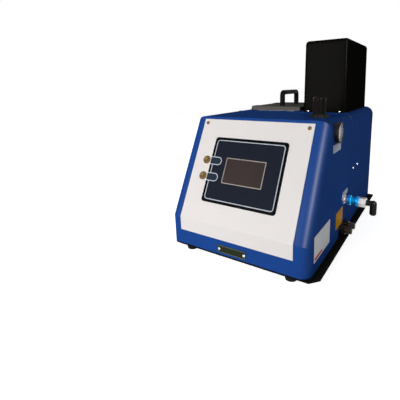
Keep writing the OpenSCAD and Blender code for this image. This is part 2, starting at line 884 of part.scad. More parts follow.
// Spool-shaped sleeve with a waist for the fingers
module slide_valve_sleeve() color(valve_blue) at_valve() translate([0, 0, sleeve_rest]) difference() {
    rotate_extrude() polygon([
        [valve_tube_d / 2 + fit_gap, 0],
        [sleeve_d / 2 - sleeve_edge, 0],
        [sleeve_d / 2, sleeve_edge],
        [sleeve_d / 2, sleeve_end],
        [sleeve_d / 2 - sleeve_waist, sleeve_end + sleeve_waist],
        [sleeve_d / 2 - sleeve_waist, sleeve_l - sleeve_end - sleeve_waist],
        [sleeve_d / 2, sleeve_l - sleeve_end],
        [sleeve_d / 2, sleeve_l - sleeve_edge],
        [sleeve_d / 2 - sleeve_edge, sleeve_l],
        [valve_tube_d / 2 + fit_gap, sleeve_l]
    ]);
    for (z = [sleeve_end / 3, sleeve_end * 2 / 3, sleeve_l - sleeve_end * 2 / 3, sleeve_l - sleeve_end / 3])
        translate([0, 0, z - sleeve_groove / 2]) ring(sleeve_d + over, sleeve_d - sleeve_groove, sleeve_groove);
}

module air_elbow() color(black) at_valve() difference() {
    union() {
        translate([0, 0, valve_end - elbow_stem_l + fit_gap])
            cylinder(d = elbow_stem_d, h = elbow_stem_l + over);
        translate([0, 0, valve_end + fit_gap]) cylinder(d = elbow_neck_d, h = elbow_turn - valve_end - fit_gap);
        translate([0, 0, elbow_turn]) sphere(d = elbow_d);
        translate([0, 0, elbow_turn]) rotate([90, 0, 0]) cylinder(d = elbow_d, h = elbow_leg);
    }
    translate([0, -elbow_leg, elbow_turn]) rotate([-90, 0, 0]) {
        translate([0, 0, -over]) cylinder(d = air_tube_d, h = elbow_bore_l + over);
        translate([0, 0, -over]) cylinder(d = collet_d + 2 * run_gap, h = collet_in + over);
    }
}

module elbow_collet() color(black) at_valve() translate([0, collet_in - elbow_leg, elbow_turn])
    rotate([90, 0, 0]) ring(collet_d, air_tube_d, collet_l);

// Air tubes held inside the hood
module tube_section() circle(d = air_tube_d - 2 * tube_gap);

module bend_tube() rotate_extrude(angle = 90) translate([tube_bend, 0]) tube_section();

module straight_tube(l) linear_extrude(l) tube_section();

module air_tubes() color(valve_blue) {
    inlet_end = side_x - bulkhead_l;
    port_z = under_z - regulator_port;
    rear_face = regulator_y + regulator_box / 2;
    left_face = regulator_x - regulator_box / 2;
    supply_x0 = cover_x - tube_side;
    plate_front = cover_y - plate_w / 2;
    plate_mid = cyl_z + plate_t / 2;
    // From the inlet up to the regulator
    translate([regulator_x + tube_bend, valve_y, valve_z]) rotate([0, 90, 0])
        straight_tube(inlet_end - regulator_x - tube_bend);
    translate([regulator_x + tube_bend, valve_y, valve_z + tube_bend]) rotate([90, 0, 0]) rotate(180)
        bend_tube();
    translate([regulator_x, valve_y, valve_z + tube_bend]) straight_tube(port_z - valve_z - 2 * tube_bend);
    translate([regulator_x, valve_y - tube_bend, port_z - tube_bend]) rotate([90, 0, 90]) bend_tube();
    translate([regulator_x, rear_face, port_z]) rotate([-90, 0, 0])
        straight_tube(valve_y - tube_bend - rear_face);
    // From the regulator through the heat shield to the pump
    translate([supply_x0 + tube_bend, regulator_y, port_z]) rotate([0, 90, 0])
        straight_tube(left_face - supply_x0 - tube_bend);
    translate([supply_x0 + tube_bend, regulator_y + tube_bend, port_z]) rotate(180) bend_tube();
    translate([supply_x0, regulator_y + tube_bend, port_z]) rotate([-90, 0, 0])
        straight_tube(plate_front - regulator_y - 4 * tube_bend);
    translate([supply_x0, plate_front - 3 * tube_bend, port_z + tube_bend]) rotate([90, 0, 90]) rotate(270)
        bend_tube();
    translate([supply_x0, plate_front - 2 * tube_bend, port_z + tube_bend])
        straight_tube(plate_mid - port_z - 2 * tube_bend);
    translate([supply_x0, plate_front - tube_bend, plate_mid - tube_bend]) rotate([90, 0, 90]) rotate(90)
        bend_tube();
    translate([supply_x0, plate_front - tube_bend, plate_mid]) rotate([-90, 0, 0]) straight_tube(tube_bend);
}

// Tank, its heaters and its supports
module at_heaters() for (side = [-1, 1])
    translate([lid_x + side * heater_pitch / 2, tank_front, tank_z + tank_floor / 2]) rotate([-90, 0, 0])
        children();

module at_feed() translate([tank_right, cover_y, feed_z]) rotate([0, 90, 0]) children();

// Heated floor block with its melting fins, and the wall frame on a thin bead of sealant
module tank() color(steel) {
    tank_base();
    tank_frame();
}

module tank_base() difference() {
    union() {
        translate([lid_x, lid_y, tank_z]) rounded_box(tank_w, tank_d, tank_floor, tank_r);
        for (i = [0:fin_count - 1])
            translate([lid_x + (i - (fin_count - 1) / 2) * (tank_w - 2 * tank_wall) / fin_count - fin_t / 2,
                tank_front + tank_wall + fin_end, floor_z - over])
                cube([fin_t, tank_d - 2 * tank_wall - 2 * fin_end, fin_h + over]);
    }
    at_heaters() translate([0, 0, -over]) cylinder(d = heater_d + 2 * run_gap, h = heater_l + over);
    translate([lid_x, tank_front - over, tank_z + tank_floor / 2]) rotate([-90, 0, 0])
        cylinder(d = probe_d + 2 * run_gap, h = probe_l + over);
}

module tank_frame() difference() {
    translate([lid_x, lid_y, floor_z + tank_bead]) rounded_box(tank_w, tank_d, tank_deep - tank_bead, tank_r);
    translate([lid_x, lid_y, floor_z]) rounded_box(
        tank_w - 2 * tank_wall, tank_d - 2 * tank_wall, tank_deep + over, tank_r - tank_wall / 2);
    at_feed() translate([0, 0, -tank_wall - over]) cylinder(d = feed_bore_d, h = tank_wall + 2 * over);
}

module tank_jacket() color([0.85, 0.8, 0.65]) translate([lid_x, lid_y, floor_z]) difference() {
    rounded_box(tank_w + 2 * (jacket_t + fit_gap), tank_d + 2 * (jacket_t + fit_gap), jacket_top - floor_z,
        tank_r + jacket_t);
    translate([0, 0, -over]) rounded_box(
        tank_w + 2 * fit_gap, tank_d + 2 * fit_gap, jacket_top - floor_z + 2 * over, tank_r + fit_gap);
    translate([tank_w / 2 - over, cover_y - lid_y - feed_flange_d / 2 - jacket_notch, -over])
        cube([jacket_t + 3 * over, feed_flange_d + 2 * jacket_notch,
            feed_z - floor_z + feed_flange_d / 2 + jacket_notch + over]);
}

module tank_heaters() color(steel) at_heaters() translate([0, 0, -heater_out])
    cylinder(d = heater_d, h = heater_l + heater_out - over);

module tank_sensors() color(steel) {
    translate([lid_x, tank_front - heater_out, tank_z + tank_floor / 2]) rotate([-90, 0, 0])
        cylinder(d = probe_d, h = probe_l + heater_out - over);
    translate([lid_x - heater_pitch / 4, tank_front, tank_z + tank_floor / 2]) rotate([90, 0, 0])
        cylinder(d = thermostat_d, h = thermostat_t);
}

module standoffs() color(steel) {
    for (sx = [-1, 1], sy = [-1, 1])
        translate([lid_x + sx * (tank_w / 2 - standoff_in), lid_y + sy * (tank_d / 2 - standoff_in), deck_z])
            cylinder(d = standoff_d, h = tank_z - deck_z);
    for (sx = [-1, 1], y = [manifold_front + standoff_in, manifold_front + manifold_d - standoff_in])
        translate([cover_x + sx * (manifold_w / 2 - standoff_in), y, deck_z])
            cylinder(d = standoff_d, h = manifold_lift);
}

module feed_pipe() color(steel) at_feed() {
    pipe_l = cover_x - pump_block / 2 - tank_right;
    difference() {
        union() {
            cylinder(d = feed_d, h = pipe_l);
            cylinder(d = feed_flange_d, h = feed_flange_t);
            translate([0, 0, pipe_l - feed_flange_t]) cylinder(d = feed_flange_d, h = feed_flange_t);
        }
        translate([0, 0, -over]) cylinder(d = feed_bore_d, h = pipe_l + 2 * over);
    }
}

// Lid with a turned-down rim, hinged on its left
module at_hinges() for (side = [-1, 1]) translate([hinge_x, lid_y + side * hinge_span, hinge_z]) children();

module tank_lid() color([0.28, 0.28, 0.28]) {
    translate([lid_x, lid_y, lid_z]) difference() {
        rounded_box(lid_w, lid_d, lid_h, lid_r);
        translate([0, 0, -over])
            rounded_box(lid_w - 2 * lid_t, lid_d - 2 * lid_t, lid_h - lid_t + over, lid_r - lid_t / 2);
        at_handle_screws() screw_hole(panel_screw, 2 * lid_h);
    }
    at_hinges() hinge_plate(hinge_knuckle)
        translate([0, -hinge_base_t]) square([lid_x0 - hinge_x + lid_t / 2, hinge_eye_r]);
}

// An eye for the hinge pin and the flat part that carries it
module hinge_plate(l) rotate([90, 0, 0]) translate([0, 0, -l / 2]) linear_extrude(l) difference() {
    union() {
        circle(hinge_eye_r);
        children();
    }
    circle(hinge_pin_d / 2 + run_gap);
}

module lid_seal() color([0.6, 0.25, 0.15]) translate([lid_x, lid_y, rim_z + fit_gap]) difference() {
    seal_h = lid_top - lid_t - rim_z - fit_gap;
    rounded_box(tank_w, tank_d, seal_h, tank_r);
    translate([0, 0, -over])
        rounded_box(tank_w - 2 * seal_w, tank_d - 2 * seal_w, seal_h + 2 * over, tank_r - seal_w / 2);
}

// Bridge handle: a flat bar bent down at both ends
module at_handle_screws() for (side = [-1, 1]) translate([0, side * (handle_l - handle_leg) / 2, 0]) children();

module lid_handle() color(black) translate([lid_x, lid_y, lid_top]) difference() {
    translate([-handle_w / 2, 0, 0]) rotate([90, 0, 90]) linear_extrude(handle_w) difference() {
        translate([0, handle_h]) mirror([0, 1]) shoulders(handle_l, handle_h, handle_r);
        translate([0, handle_h - handle_t]) mirror([0, 1])
            shoulders(handle_l - 2 * handle_leg, handle_h, handle_r / 2);
    }
    at_handle_screws() screw_hole(panel_screw, screw_l + over);
}

module handle_screws() color(steel) translate([lid_x, lid_y, lid_top - lid_t]) at_handle_screws()
    mirror([0, 0, 1]) screw(panel_screw, lid_t + screw_l);

module hinge_brackets() color(black) at_hinges() {
    ear_at = hinge_knuckle / 2 + fit_gap;
    for (side = [-1, 1]) translate([0, side * (ear_at + hinge_ear / 2), 0]) hinge_plate(hinge_ear)
        translate([-hinge_eye_r, -hinge_up]) square([2 * hinge_eye_r, hinge_up]);
    translate([-hinge_eye_r, -ear_at - hinge_ear, -hinge_up])
        cube([2 * hinge_eye_r, 2 * (ear_at + hinge_ear), hinge_base_t]);
}

module hinge_pins() color(steel) at_hinges() rotate([90, 0, 0]) {
    pin_l = hinge_knuckle + 2 * (hinge_ear + fit_gap);
    translate([0, 0, -pin_l / 2]) cylinder(d = hinge_pin_d, h = pin_l);
    translate([0, 0, pin_l / 2]) cylinder(d = pin_head_d, h = pin_head_t);
}

// Glue manifold, filter and hose nipples
module at_nipples() for (side = [-1, 1])
    translate([cover_x + manifold_w / 2, notch_y + side * nipple_pitch / 2, nipple_z]) rotate([0, 90, 0])
        children();

module at_filter() translate([cover_x - filter_side, manifold_front, manifold_z + manifold_h / 2])
    rotate([-90, 0, 0]) children();

// Block with the glue's way from the pump through the filter to the nipples
module glue_manifold() color(steel) difference() {
    translate([cover_x - manifold_w / 2, manifold_front, manifold_z])
        cube([manifold_w, manifold_d, manifold_h]);
    at_nipples() {
        translate([0, 0, -nipple_seat_l]) cylinder(d = nipple_seat_d + 2 * run_gap, h = nipple_seat_l + over);
        translate([0, 0, -manifold_w / 2]) cylinder(d = glue_way_d, h = manifold_w / 2);
    }
    at_filter() translate([0, 0, -over]) cylinder(d = filter_bore_d, h = filter_l + 2 * over);
    translate([cover_x, cover_y, manifold_z + manifold_h / 2]) {
        cylinder(d = glue_way_d, h = manifold_h);
        rotate([90, 0, 0])
            cylinder(d = glue_way_d, h = cover_y - manifold_front - filter_l + filter_bore_d / 2);
    }
}

// Hex plug and the strainer that it holds in the manifold
module glue_filter() color(steel) at_filter() {
    translate([0, 0, -filter_head_l]) hex(filter_head_af, filter_head_l);
    cylinder(d = filter_bore_d - 2 * run_gap, h = filter_head_l);
    translate([0, 0, filter_head_l])
        ring(filter_bore_d - 2 * filter_wall, filter_bore_d - 4 * filter_wall, filter_l - filter_head_l);
}

module hose_nipples() color(dark_metal) at_nipples() {
    wall_at = side_x - cover_x - manifold_w / 2;
    hex_at = wall_at + nipple_clear;
    difference() {
        union() {
            translate([0, 0, over - nipple_seat_l]) cylinder(d = nipple_seat_d, h = nipple_seat_l);
            cylinder(d = nipple_d + nipple_shank, h = hex_at);
            translate([0, 0, hex_at]) hex(nipple_hex_af, nipple_hex_l);
            translate([0, 0, hex_at + nipple_hex_l]) cylinder(d = nipple_d, h = nipple_thread_l);
        }
        translate([0, 0, -nipple_seat_l])
            cylinder(d = nipple_bore_d, h = hex_at + nipple_hex_l + nipple_thread_l + 2 * nipple_seat_l);
    }
}

// Pump: plunger below, air cylinder above, joined by columns
module at_pump(z) translate([cover_x, cover_y, z]) children();

module at_corners(half) for (sx = [-1, 1], sy = [-1, 1]) translate([sx * half, sy * half, 0]) children();

module pump_body() color(steel) at_pump(0) difference() {
    union() {
        translate([0, 0, manifold_top]) rounded_box(pump_block, pump_block, block_top - manifold_top, body_r);
        translate([0, 0, block_top]) cylinder(d = barrel_d, h = barrel_top - block_top);
        translate([0, 0, barrel_top - flange_t]) rounded_box(flange_w, flange_w, flange_t, plate_r);
        translate([0, 0, barrel_top]) cylinder(d = gland_d, h = gland_h);
    }
    translate([0, 0, plunger_z - over]) cylinder(d = plunger_d + 2 * run_gap, h = barrel_top + gland_h);
    translate([0, 0, manifold_top - over]) cylinder(d = glue_way_d, h = plunger_up);
    translate([-pump_block / 2 - over, 0, feed_z]) rotate([0, 90, 0])
        cylinder(d = feed_bore_d, h = pump_block / 2 + over);
}

module pump_columns() color(steel) at_pump(barrel_top) at_corners(column_at)
    cylinder(d = column_d, h = cyl_z - barrel_top);

module pump_plunger() color(steel) {
    at_pump(plunger_z) cylinder(d = plunger_d, h = coupling_z - plunger_z + over);
    at_pump(coupling_z) cylinder(d = coupling_d, h = coupling_h);
}

module piston_rod() color(steel) {
    at_pump(coupling_z + coupling_h) cylinder(d = rod_d, h = piston_z - coupling_z - coupling_h);
    at_pump(piston_z) cylinder(d = piston_neck_d, h = piston_t + over);
    at_pump(piston_z + piston_t) hex(piston_nut_af, piston_nut_h);
}

module air_piston() color(steel) at_pump(piston_z) difference() {
    cylinder(d = air_bore - 2 * fit_gap, h = piston_t);
    translate([0, 0, -over]) cylinder(d = piston_neck_d + 2 * run_gap, h = piston_t + 2 * over);
    translate([0, 0, (piston_t - seal_groove) / 2]) ring(air_bore, air_bore - 2 * seal_deep, seal_groove);
}

module air_cylinder() color(steel) at_pump(tube_z) ring(cyl_d, air_bore, cyl_l);

module cylinder_plate(hole_d) difference() {
    rounded_box(plate_w, plate_w, plate_t, plate_r);
    at_corners(plate_w / 2 - tie_in) translate([0, 0, -over])
        cylinder(d = tie_d + 2 * screw_gap, h = plate_t + 2 * over);
    translate([0, 0, -over]) cylinder(d = hole_d, h = plate_t + 2 * over);
}

module cylinder_plates() color(steel) {
    at_pump(cyl_z) cylinder_plate(rod_d + 2 * run_gap);
    at_pump(head_z) cylinder_plate(piston_neck_d);
}

module tie_rods() color(steel) at_pump(0) at_corners(plate_w / 2 - tie_in) {
    translate([0, 0, cyl_z]) cylinder(d = tie_d, h = head_z + plate_t - cyl_z + over);
    translate([0, 0, head_z + plate_t]) hex(tie_nut_af, tie_nut_h);
}

module shift_valve() color(black) at_pump(cyl_z) translate([0, plate_w / 2, 0]) difference() {
    translate([-shift_w / 2, 0, 0]) cube([shift_w, shift_d, head_z + plate_t - cyl_z]);
    for (z = [plate_t, head_z - cyl_z - plate_t]) translate([0, shift_d + over, z + plate_t / 2])
        rotate([90, 0, 0]) cylinder(d = air_tube_d, h = shift_d / 2);
}

// Tall pump cover: a rounded, slightly tapering box on four screw tabs
module cover_form(inset, below) hull() {
    r = cover_r - inset;
    for (sx = [-1, 1], sy = [-1, 1]) {
        at_x = sx * (cover_w / 2 - cover_r);
        at_y = sy * (cover_d / 2 - cover_r);
        translate([at_x, at_y, top_z - below]) cylinder(r = r, h = over, $fn = 32);
        translate([at_x - sx * cover_lean, at_y - sy * cover_lean, top_z + cover_h - cover_r])
            sphere(r, $fn = 32);
    }
}

module at_cover_screws() for (sx = [-1, 1], sy = [-1, 1])
    at_pump(top_z) translate([sx * (cover_w / 2 - tab_in - tab_w / 2), sy * (cover_d + tab_d) / 2, 0])
        children();

module pump_cover() color(black) {
    difference() {
        at_pump(0) cover_form(0, 0);
        at_pump(0) cover_form(cover_t, over);
    }
    difference() {
        at_cover_screws() translate([-tab_w / 2, -tab_d / 2 - cover_t / 2, 0])
            cube([tab_w, tab_d + cover_t, tab_t]);
        at_pump(0) cover_form(cover_t / 2, over);
        at_cover_screws() screw_hole(small_screw, 3 * tab_t);
    }
}

// Wall between the hot tank and the electrics
module heat_shield() color(steel) difference() {
    union() {
        translate([shield_in - side_x, shield_y, deck_z])
            cube([cabinet_w - 2 * shield_in, shield_t, under_z - deck_z - shield_in]);
        translate([shield_in - side_x, shield_y - shield_foot, deck_z])
            cube([cabinet_w - 2 * shield_in, shield_foot + shield_t, shield_t]);
    }
    translate([cover_x - manifold_w / 2 - shield_gap, shield_y - shield_foot - over, deck_z - over])
        cube([manifold_w + 2 * shield_gap, shield_foot + shield_t + 2 * over,
            manifold_lift + manifold_h + shield_gap + over]);
    translate([cover_x - tube_side, shield_y - over, under_z - regulator_port]) rotate([-90, 0, 0])
        cylinder(d = air_tube_d + 2 * shield_gap, h = shield_t + 2 * over);
}

// Power supply, control board on spacers, heater relay and terminal block
module at_relay_screws() for (side = [-1, 1])
    on_right_wall(relay_y + side * relay_pitch / 2, relay_z) children();

module power_supply() color(steel) translate([supply_x, supply_y, deck_z]) difference() {
    translate([-supply_w / 2, -supply_d / 2, 0]) cube([supply_w, supply_d, supply_h]);
    for (i = [0:supply_slots - 1])
        translate([-supply_slot[0] / 2, (i - supply_slots / 2) * supply_slot_pitch, supply_h - supply_slot[2]])
            cube([supply_slot[0], supply_slot[1], supply_slot[2] + over]);
}

module control_board() color([0.2, 0.4, 0.25]) translate([board_x, board_y, deck_z]) {
    face_z = board_lift + board_t;
    translate([-board_w / 2, -board_d / 2, board_lift]) cube([board_w, board_d, board_t]);
    for (sx = [-1, 1], sy = [-1, 1])
        translate([sx * (board_w / 2 - spacer_in), sy * (board_d / 2 - spacer_in), 0])
            cylinder(d = spacer_d, h = board_lift);
    translate([spacer_in - board_w / 2, -connector[1] / 2, face_z]) cube(connector);
    for (i = [-1:1]) translate([0, i * coil_pitch - coil[1] / 2, face_z]) cube(coil);
}

module heater_relay() color(black) difference() {
    on_right_wall(relay_y, relay_z) translate([-relay[0] / 2, -relay[1] / 2, -sheet_t - relay[2]]) cube(relay);
    at_relay_screws() screw_hole(small_screw, sheet_t + relay[2] + over);
}

module terminal_block() color(black) translate([terminal_x, terminal_y, deck_z]) difference() {
    translate([-terminal[0] / 2, -terminal[1] / 2, 0]) cube(terminal);
    for (i = [1:terminal_ways - 1])
        translate([(i / terminal_ways - 1 / 2) * terminal[0] - terminal_slot[0] / 2,
            -terminal[1] / 2 - over, terminal[2] - terminal_slot[1]])
            cube([terminal_slot[0], terminal[1] + 2 * over, terminal_slot[1] + over]);
}

// The same small screw holds the name plate, the pump cover and the relay
module small_screws() color(steel) {
    at_name_screws() screw(small_screw, name_t + sheet_t + screw_past);
    at_cover_screws() translate([0, 0, tab_t]) screw(small_screw, tab_t + sheet_t + screw_past);
    at_relay_screws() screw(small_screw, sheet_t + relay[2] / 2);
}

// Cable gland in the rear wall
module cable_gland() color(black) translate([gland_x, cabinet_d, gland_z]) rotate([-90, 0, 0]) difference() {
    union() {
        translate([0, 0, -sheet_t - gland_in]) cylinder(d = gland_thread_d, h = sheet_t + gland_in);
        hex(gland_hex_af, gland_hex_l);
        rotate_extrude() polygon([
            [0, 0],
            [gland_hex_af / 2 - gland_edge, 0],
            [gland_hex_af / 2 - gland_edge, gland_hex_l + gland_cap_l / 2],
            [gland_bore_d / 2 + gland_lip, gland_hex_l + gland_cap_l],
            [0, gland_hex_l + gland_cap_l]
        ]);
    }
    translate([0, 0, -sheet_t - gland_in - over])
        cylinder(d = gland_way_d, h = sheet_t + gland_in + gland_hex_l + over);
    cylinder(d = gland_bore_d, h = gland_hex_l + gland_cap_l + over);
}

stand() base_plate();
stand() rubber_feet();
stand() foot_screws();
stand() front_hood();
stand() rear_hood();
stand() front_panel();
stand() panel_screws();
stand() control_overlay();
stand() screen_housing();
stand() screen_frame();
stand() screen_glass();
stand() button_barrels();
stand() upper_button();
stand() lower_button();
stand() name_plate();
stand() small_screws();
stand() regulator_body();
stand() regulator_ring_nut();
stand() regulator_knob();
stand() gauge_case();
stand() gauge_dial();
stand() gauge_needle();
stand() gauge_lens();
stand() inlet_bulkhead();
stand() slide_valve_body();
stand() slide_valve_sleeve();
stand() air_elbow();
stand() elbow_collet();
stand() air_tubes();
stand() tank();
stand() tank_jacket();
stand() tank_heaters();
stand() tank_sensors();
stand() standoffs();
stand() feed_pipe();
stand() tank_lid();
stand() lid_seal();
stand() lid_handle();
stand() handle_screws();
stand() hinge_brackets();
stand() hinge_pins();
stand() glue_manifold();
stand() glue_filter();
stand() hose_nipples();
stand() pump_body();
stand() pump_columns();
stand() pump_plunger();
stand() piston_rod();
stand() air_piston();
stand() air_cylinder();
stand() cylinder_plates();
stand() tie_rods();
stand() shift_valve();
stand() pump_cover();
stand() heat_shield();
stand() power_supply();
stand() control_board();
stand() heater_relay();
stand() terminal_block();
stand() cable_gland();
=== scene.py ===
# %% [markdown]
# # Dressing a hot melt glue unit
# The machine arrives as finished solids: bent sheet hoods, a lid, a pump under a tall cover, gauges and
# fittings. This lesson gives those solids their paint, metal and plastic, and adds what is too fine for
# the solids: printed film, blank plates, screw recesses and the gauge's scale.

# %% Load the fixed frame
import json
import math

import bmesh
import bpy
from mathutils import Matrix, Vector

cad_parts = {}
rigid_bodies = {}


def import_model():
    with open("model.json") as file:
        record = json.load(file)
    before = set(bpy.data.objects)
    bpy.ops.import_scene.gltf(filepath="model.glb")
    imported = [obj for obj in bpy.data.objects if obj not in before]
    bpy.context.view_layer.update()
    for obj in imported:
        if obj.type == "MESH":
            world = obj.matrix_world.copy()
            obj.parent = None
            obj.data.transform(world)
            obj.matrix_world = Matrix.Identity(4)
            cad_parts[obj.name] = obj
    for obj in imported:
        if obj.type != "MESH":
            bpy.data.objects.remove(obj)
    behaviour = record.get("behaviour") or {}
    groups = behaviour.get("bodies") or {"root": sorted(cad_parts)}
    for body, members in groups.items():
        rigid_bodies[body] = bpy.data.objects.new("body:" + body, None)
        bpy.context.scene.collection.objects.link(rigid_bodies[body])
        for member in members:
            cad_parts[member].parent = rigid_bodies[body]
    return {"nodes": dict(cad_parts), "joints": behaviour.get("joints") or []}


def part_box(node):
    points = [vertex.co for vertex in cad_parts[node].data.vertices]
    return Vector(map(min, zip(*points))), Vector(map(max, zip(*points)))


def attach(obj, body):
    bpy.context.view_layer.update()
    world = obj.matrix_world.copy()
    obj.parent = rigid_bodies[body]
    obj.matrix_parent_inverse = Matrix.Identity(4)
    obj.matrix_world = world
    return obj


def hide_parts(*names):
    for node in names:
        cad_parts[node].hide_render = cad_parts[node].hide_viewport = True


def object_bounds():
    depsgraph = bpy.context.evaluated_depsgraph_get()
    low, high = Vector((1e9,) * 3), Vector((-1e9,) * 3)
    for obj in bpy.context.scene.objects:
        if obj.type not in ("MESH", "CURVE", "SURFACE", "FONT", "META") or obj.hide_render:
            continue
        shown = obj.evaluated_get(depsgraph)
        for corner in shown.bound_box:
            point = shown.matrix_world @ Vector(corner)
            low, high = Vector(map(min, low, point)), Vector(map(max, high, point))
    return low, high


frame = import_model()
cad_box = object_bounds()

# %% [markdown]
# ## Working planes
# Every added piece sits on one of three faces: the sloping front, the upright front strip and the right
# wall. A matrix for each face lets a piece be drawn flat, in millimetres, and then laid on its face. The
# slope's direction isn't measured again: the push buttons move straight into the slope, so their joint
# already holds its normal.

# %% Planes of the cabinet
MM = 0.001
FRONT_RISE = 65 * MM
X, Y, Z = Vector((1, 0, 0)), Vector((0, 1, 0)), Vector((0, 0, 1))


def joint_of(name):
    """A joint of the frame by its name."""
    return next(joint for joint in frame["joints"] if joint["name"] == name)


def face_plane(origin, across, up, out):
    """A matrix that takes millimetres on a face (across, up, out) to metres in the frame."""
    turn = Matrix((across, up, out)).transposed().to_4x4()
    return Matrix.Translation(origin) @ turn @ Matrix.Scale(MM, 4)


hood_lo, hood_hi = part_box("front_hood")
mid_x = (hood_lo.x + hood_hi.x) / 2
slope_out = -Vector(joint_of("upper_button_press")["axis"]).normalized()
slope_up = slope_out.cross(X)
slope = face_plane((mid_x, hood_lo.y, hood_lo.z + FRONT_RISE), X, slope_up, slope_out)
front = face_plane((mid_x, hood_lo.y, hood_lo.z), X, Z, -Y)
right = face_plane((hood_hi.x, hood_lo.y, hood_lo.z), Y, Z, X)
frame_mm = Matrix.Scale(MM, 4)
print("slope normal:", [round(v, 4) for v in slope_out], "up:", [round(v, 4) for v in slope_up])

# %% [markdown]
# ## Camera
# The photograph was taken from the front right, a little above the panel, with the machine well to the
# right of the picture's middle. A lens shift keeps it there without turning the camera, so the upright
# edges keep the photograph's lean.

# %% Camera
CAMERA_AT = Vector((0.3061, -0.7861, 0.3730))
AZIMUTH = math.radians(32.288)
ELEVATION = math.radians(11.497)
ROLL = math.radians(-1.248)
LENS_MM = 28.525
SENSOR_MM = 36
SHIFT = (-0.10, -0.125)

back = Vector((math.sin(AZIMUTH) * math.cos(ELEVATION), -math.cos(AZIMUTH) * math.cos(ELEVATION),
               math.sin(ELEVATION)))
flat_right = Vector((math.cos(AZIMUTH), math.sin(AZIMUTH), 0))
flat_up = back.cross(flat_right)
cam_right = math.cos(ROLL) * flat_right + math.sin(ROLL) * flat_up
cam_up = math.cos(ROLL) * flat_up - math.sin(ROLL) * flat_right
camera = bpy.data.objects.new("camera", bpy.data.cameras.new("camera"))
camera.data.sensor_width = SENSOR_MM
camera.data.lens = LENS_MM
camera.data.shift_x, camera.data.shift_y = SHIFT
camera.matrix_world = Matrix.Translation(CAMERA_AT) @ Matrix((cam_right, cam_up, back)).transposed().to_4x4()
bpy.context.scene.collection.objects.link(camera)
bpy.context.scene.camera = camera
print("camera at", [round(v, 3) for v in camera.location])

# %% [markdown]
# ## Writing shaders as sums
# Paint, metal and plastic all vary a little from place to place. Wiring that by hand hides the idea, so
# one small class lets a socket be used in a Python expression: `0.4 + 0.1 * noise` adds its Math nodes. A
# second class stands for one material and adds any other node from its type, settings and inputs.

# %% Sockets as values
class Wire:
    """A shader socket that can be added, multiplied and so on."""

    def __init__(self, tree, socket):
        self.tree = tree
        self.socket = socket

    def other(self, name):
        """Another output of the same node."""
        return Wire(self.tree, self.socket.node.outputs[name])

    def math(self, operation, first, second=0.0):
        return self.tree.add("ShaderNodeMath", {"operation": operation}, {0: first, 1: second})

    def __add__(self, other):
        return self.math("ADD", self, other)

    def __mul__(self, other):
        return self.math("MULTIPLY", self, other)

    def __or__(self, other):
        return self.math("MAXIMUM", self, other)

    def __abs__(self):
        return self.math("ABSOLUTE", self)

    def sine(self):
        return self.math("SINE", self)

    __radd__ = __add__
    __rmul__ = __mul__
    __ror__ = __or__

# %% [markdown]
# A tree holds the nodes of a material or of the world, and one method adds a node of any kind to it. A
# finish is the tree of one material. It also keeps the name of the slot that this kind of surface has on
# the machine.

# %% Node trees and materials
class Tree:
    """The nodes of a material or of the world."""

    def __init__(self, owner):
        owner.use_nodes = True
        self.nodes = owner.node_tree.nodes
        self.links = owner.node_tree.links

    def add(self, kind, settings=None, inputs=None, output=0):
        """Adds a node of any kind, sets its settings first and its inputs next, and gives an output."""
        node = self.nodes.new(kind)
        for key, value in (settings or {}).items():
            setattr(node, key, value)
        for key, value in (inputs or {}).items():
            self.feed(node.inputs[key], value)
        return Wire(self, node.outputs[output])

    def feed(self, socket, value):
        """Links a wire to a socket, or sets the socket to a plain value."""
        if isinstance(value, Wire):
            self.links.new(value.socket, socket)
        else:
            socket.default_value = value


class Finish(Tree):
    """A material: its Principled shader, its slot in the record and the nodes that feed it."""

    def __init__(self, name, slot, **constants):
        self.slot = slot
        self.material = bpy.data.materials.new(name)
        super().__init__(self.material)
        self.shader = self.nodes["Principled BSDF"]
        self.wear(**constants)

    def wear(self, **values):
        """Sets shader sockets by name, with underscores for spaces: wear(Base_Color=...)."""
        for key, value in values.items():
            self.feed(self.shader.inputs[key.replace("_", " ")], value)

    def place(self, stretch=(1, 1, 1)):
        """Object coordinates in metres, stretched so that a pattern can run along one axis."""
        spot = self.add("ShaderNodeTexCoord", output="Object")
        return self.add("ShaderNodeMapping", {}, {"Vector": spot, "Scale": stretch})

    def noise(self, per_metre, detail=2.0, stretch=(1, 1, 1)):
        """Soft noise from 0 to 1 with so many features to the metre."""
        return self.add("ShaderNodeTexNoise", {}, {
            "Vector": self.place(stretch), "Scale": per_metre, "Detail": detail})

    def blend(self, factor, first, second):
        """A colour between two colours."""
        return self.add("ShaderNodeMix", {"data_type": "RGBA"}, {0: factor, 6: first, 7: second}, output=2)

    def bump(self, height, depth_mm):
        """Raises the surface by a height from 0 to 1 over a depth in millimetres."""
        self.ripple = self.add("ShaderNodeBump", {}, {"Height": height, "Distance": depth_mm * MM})
        self.wear(Normal=self.ripple)

    def show(self, surface):
        """Makes a shader the material's surface in place of the Principled one alone."""
        self.feed(self.nodes["Material Output"].inputs["Surface"], surface)

# %% [markdown]
# Colours are easiest to judge as the 0 to 255 numbers of a picture editor. The shader wants linear light,
# so a helper converts them once.

# %% Colours
def tint(red, green, blue):
    """A picture editor's colour as linear light with full alpha."""
    def linear(byte):
        share = byte / 255
        return share / 12.92 if share <= 0.04045 else ((share + 0.055) / 1.055) ** 2.4
    return (linear(red), linear(green), linear(blue), 1.0)


print("mid grey in linear light:", [round(v, 3) for v in tint(128, 128, 128)[:3]])

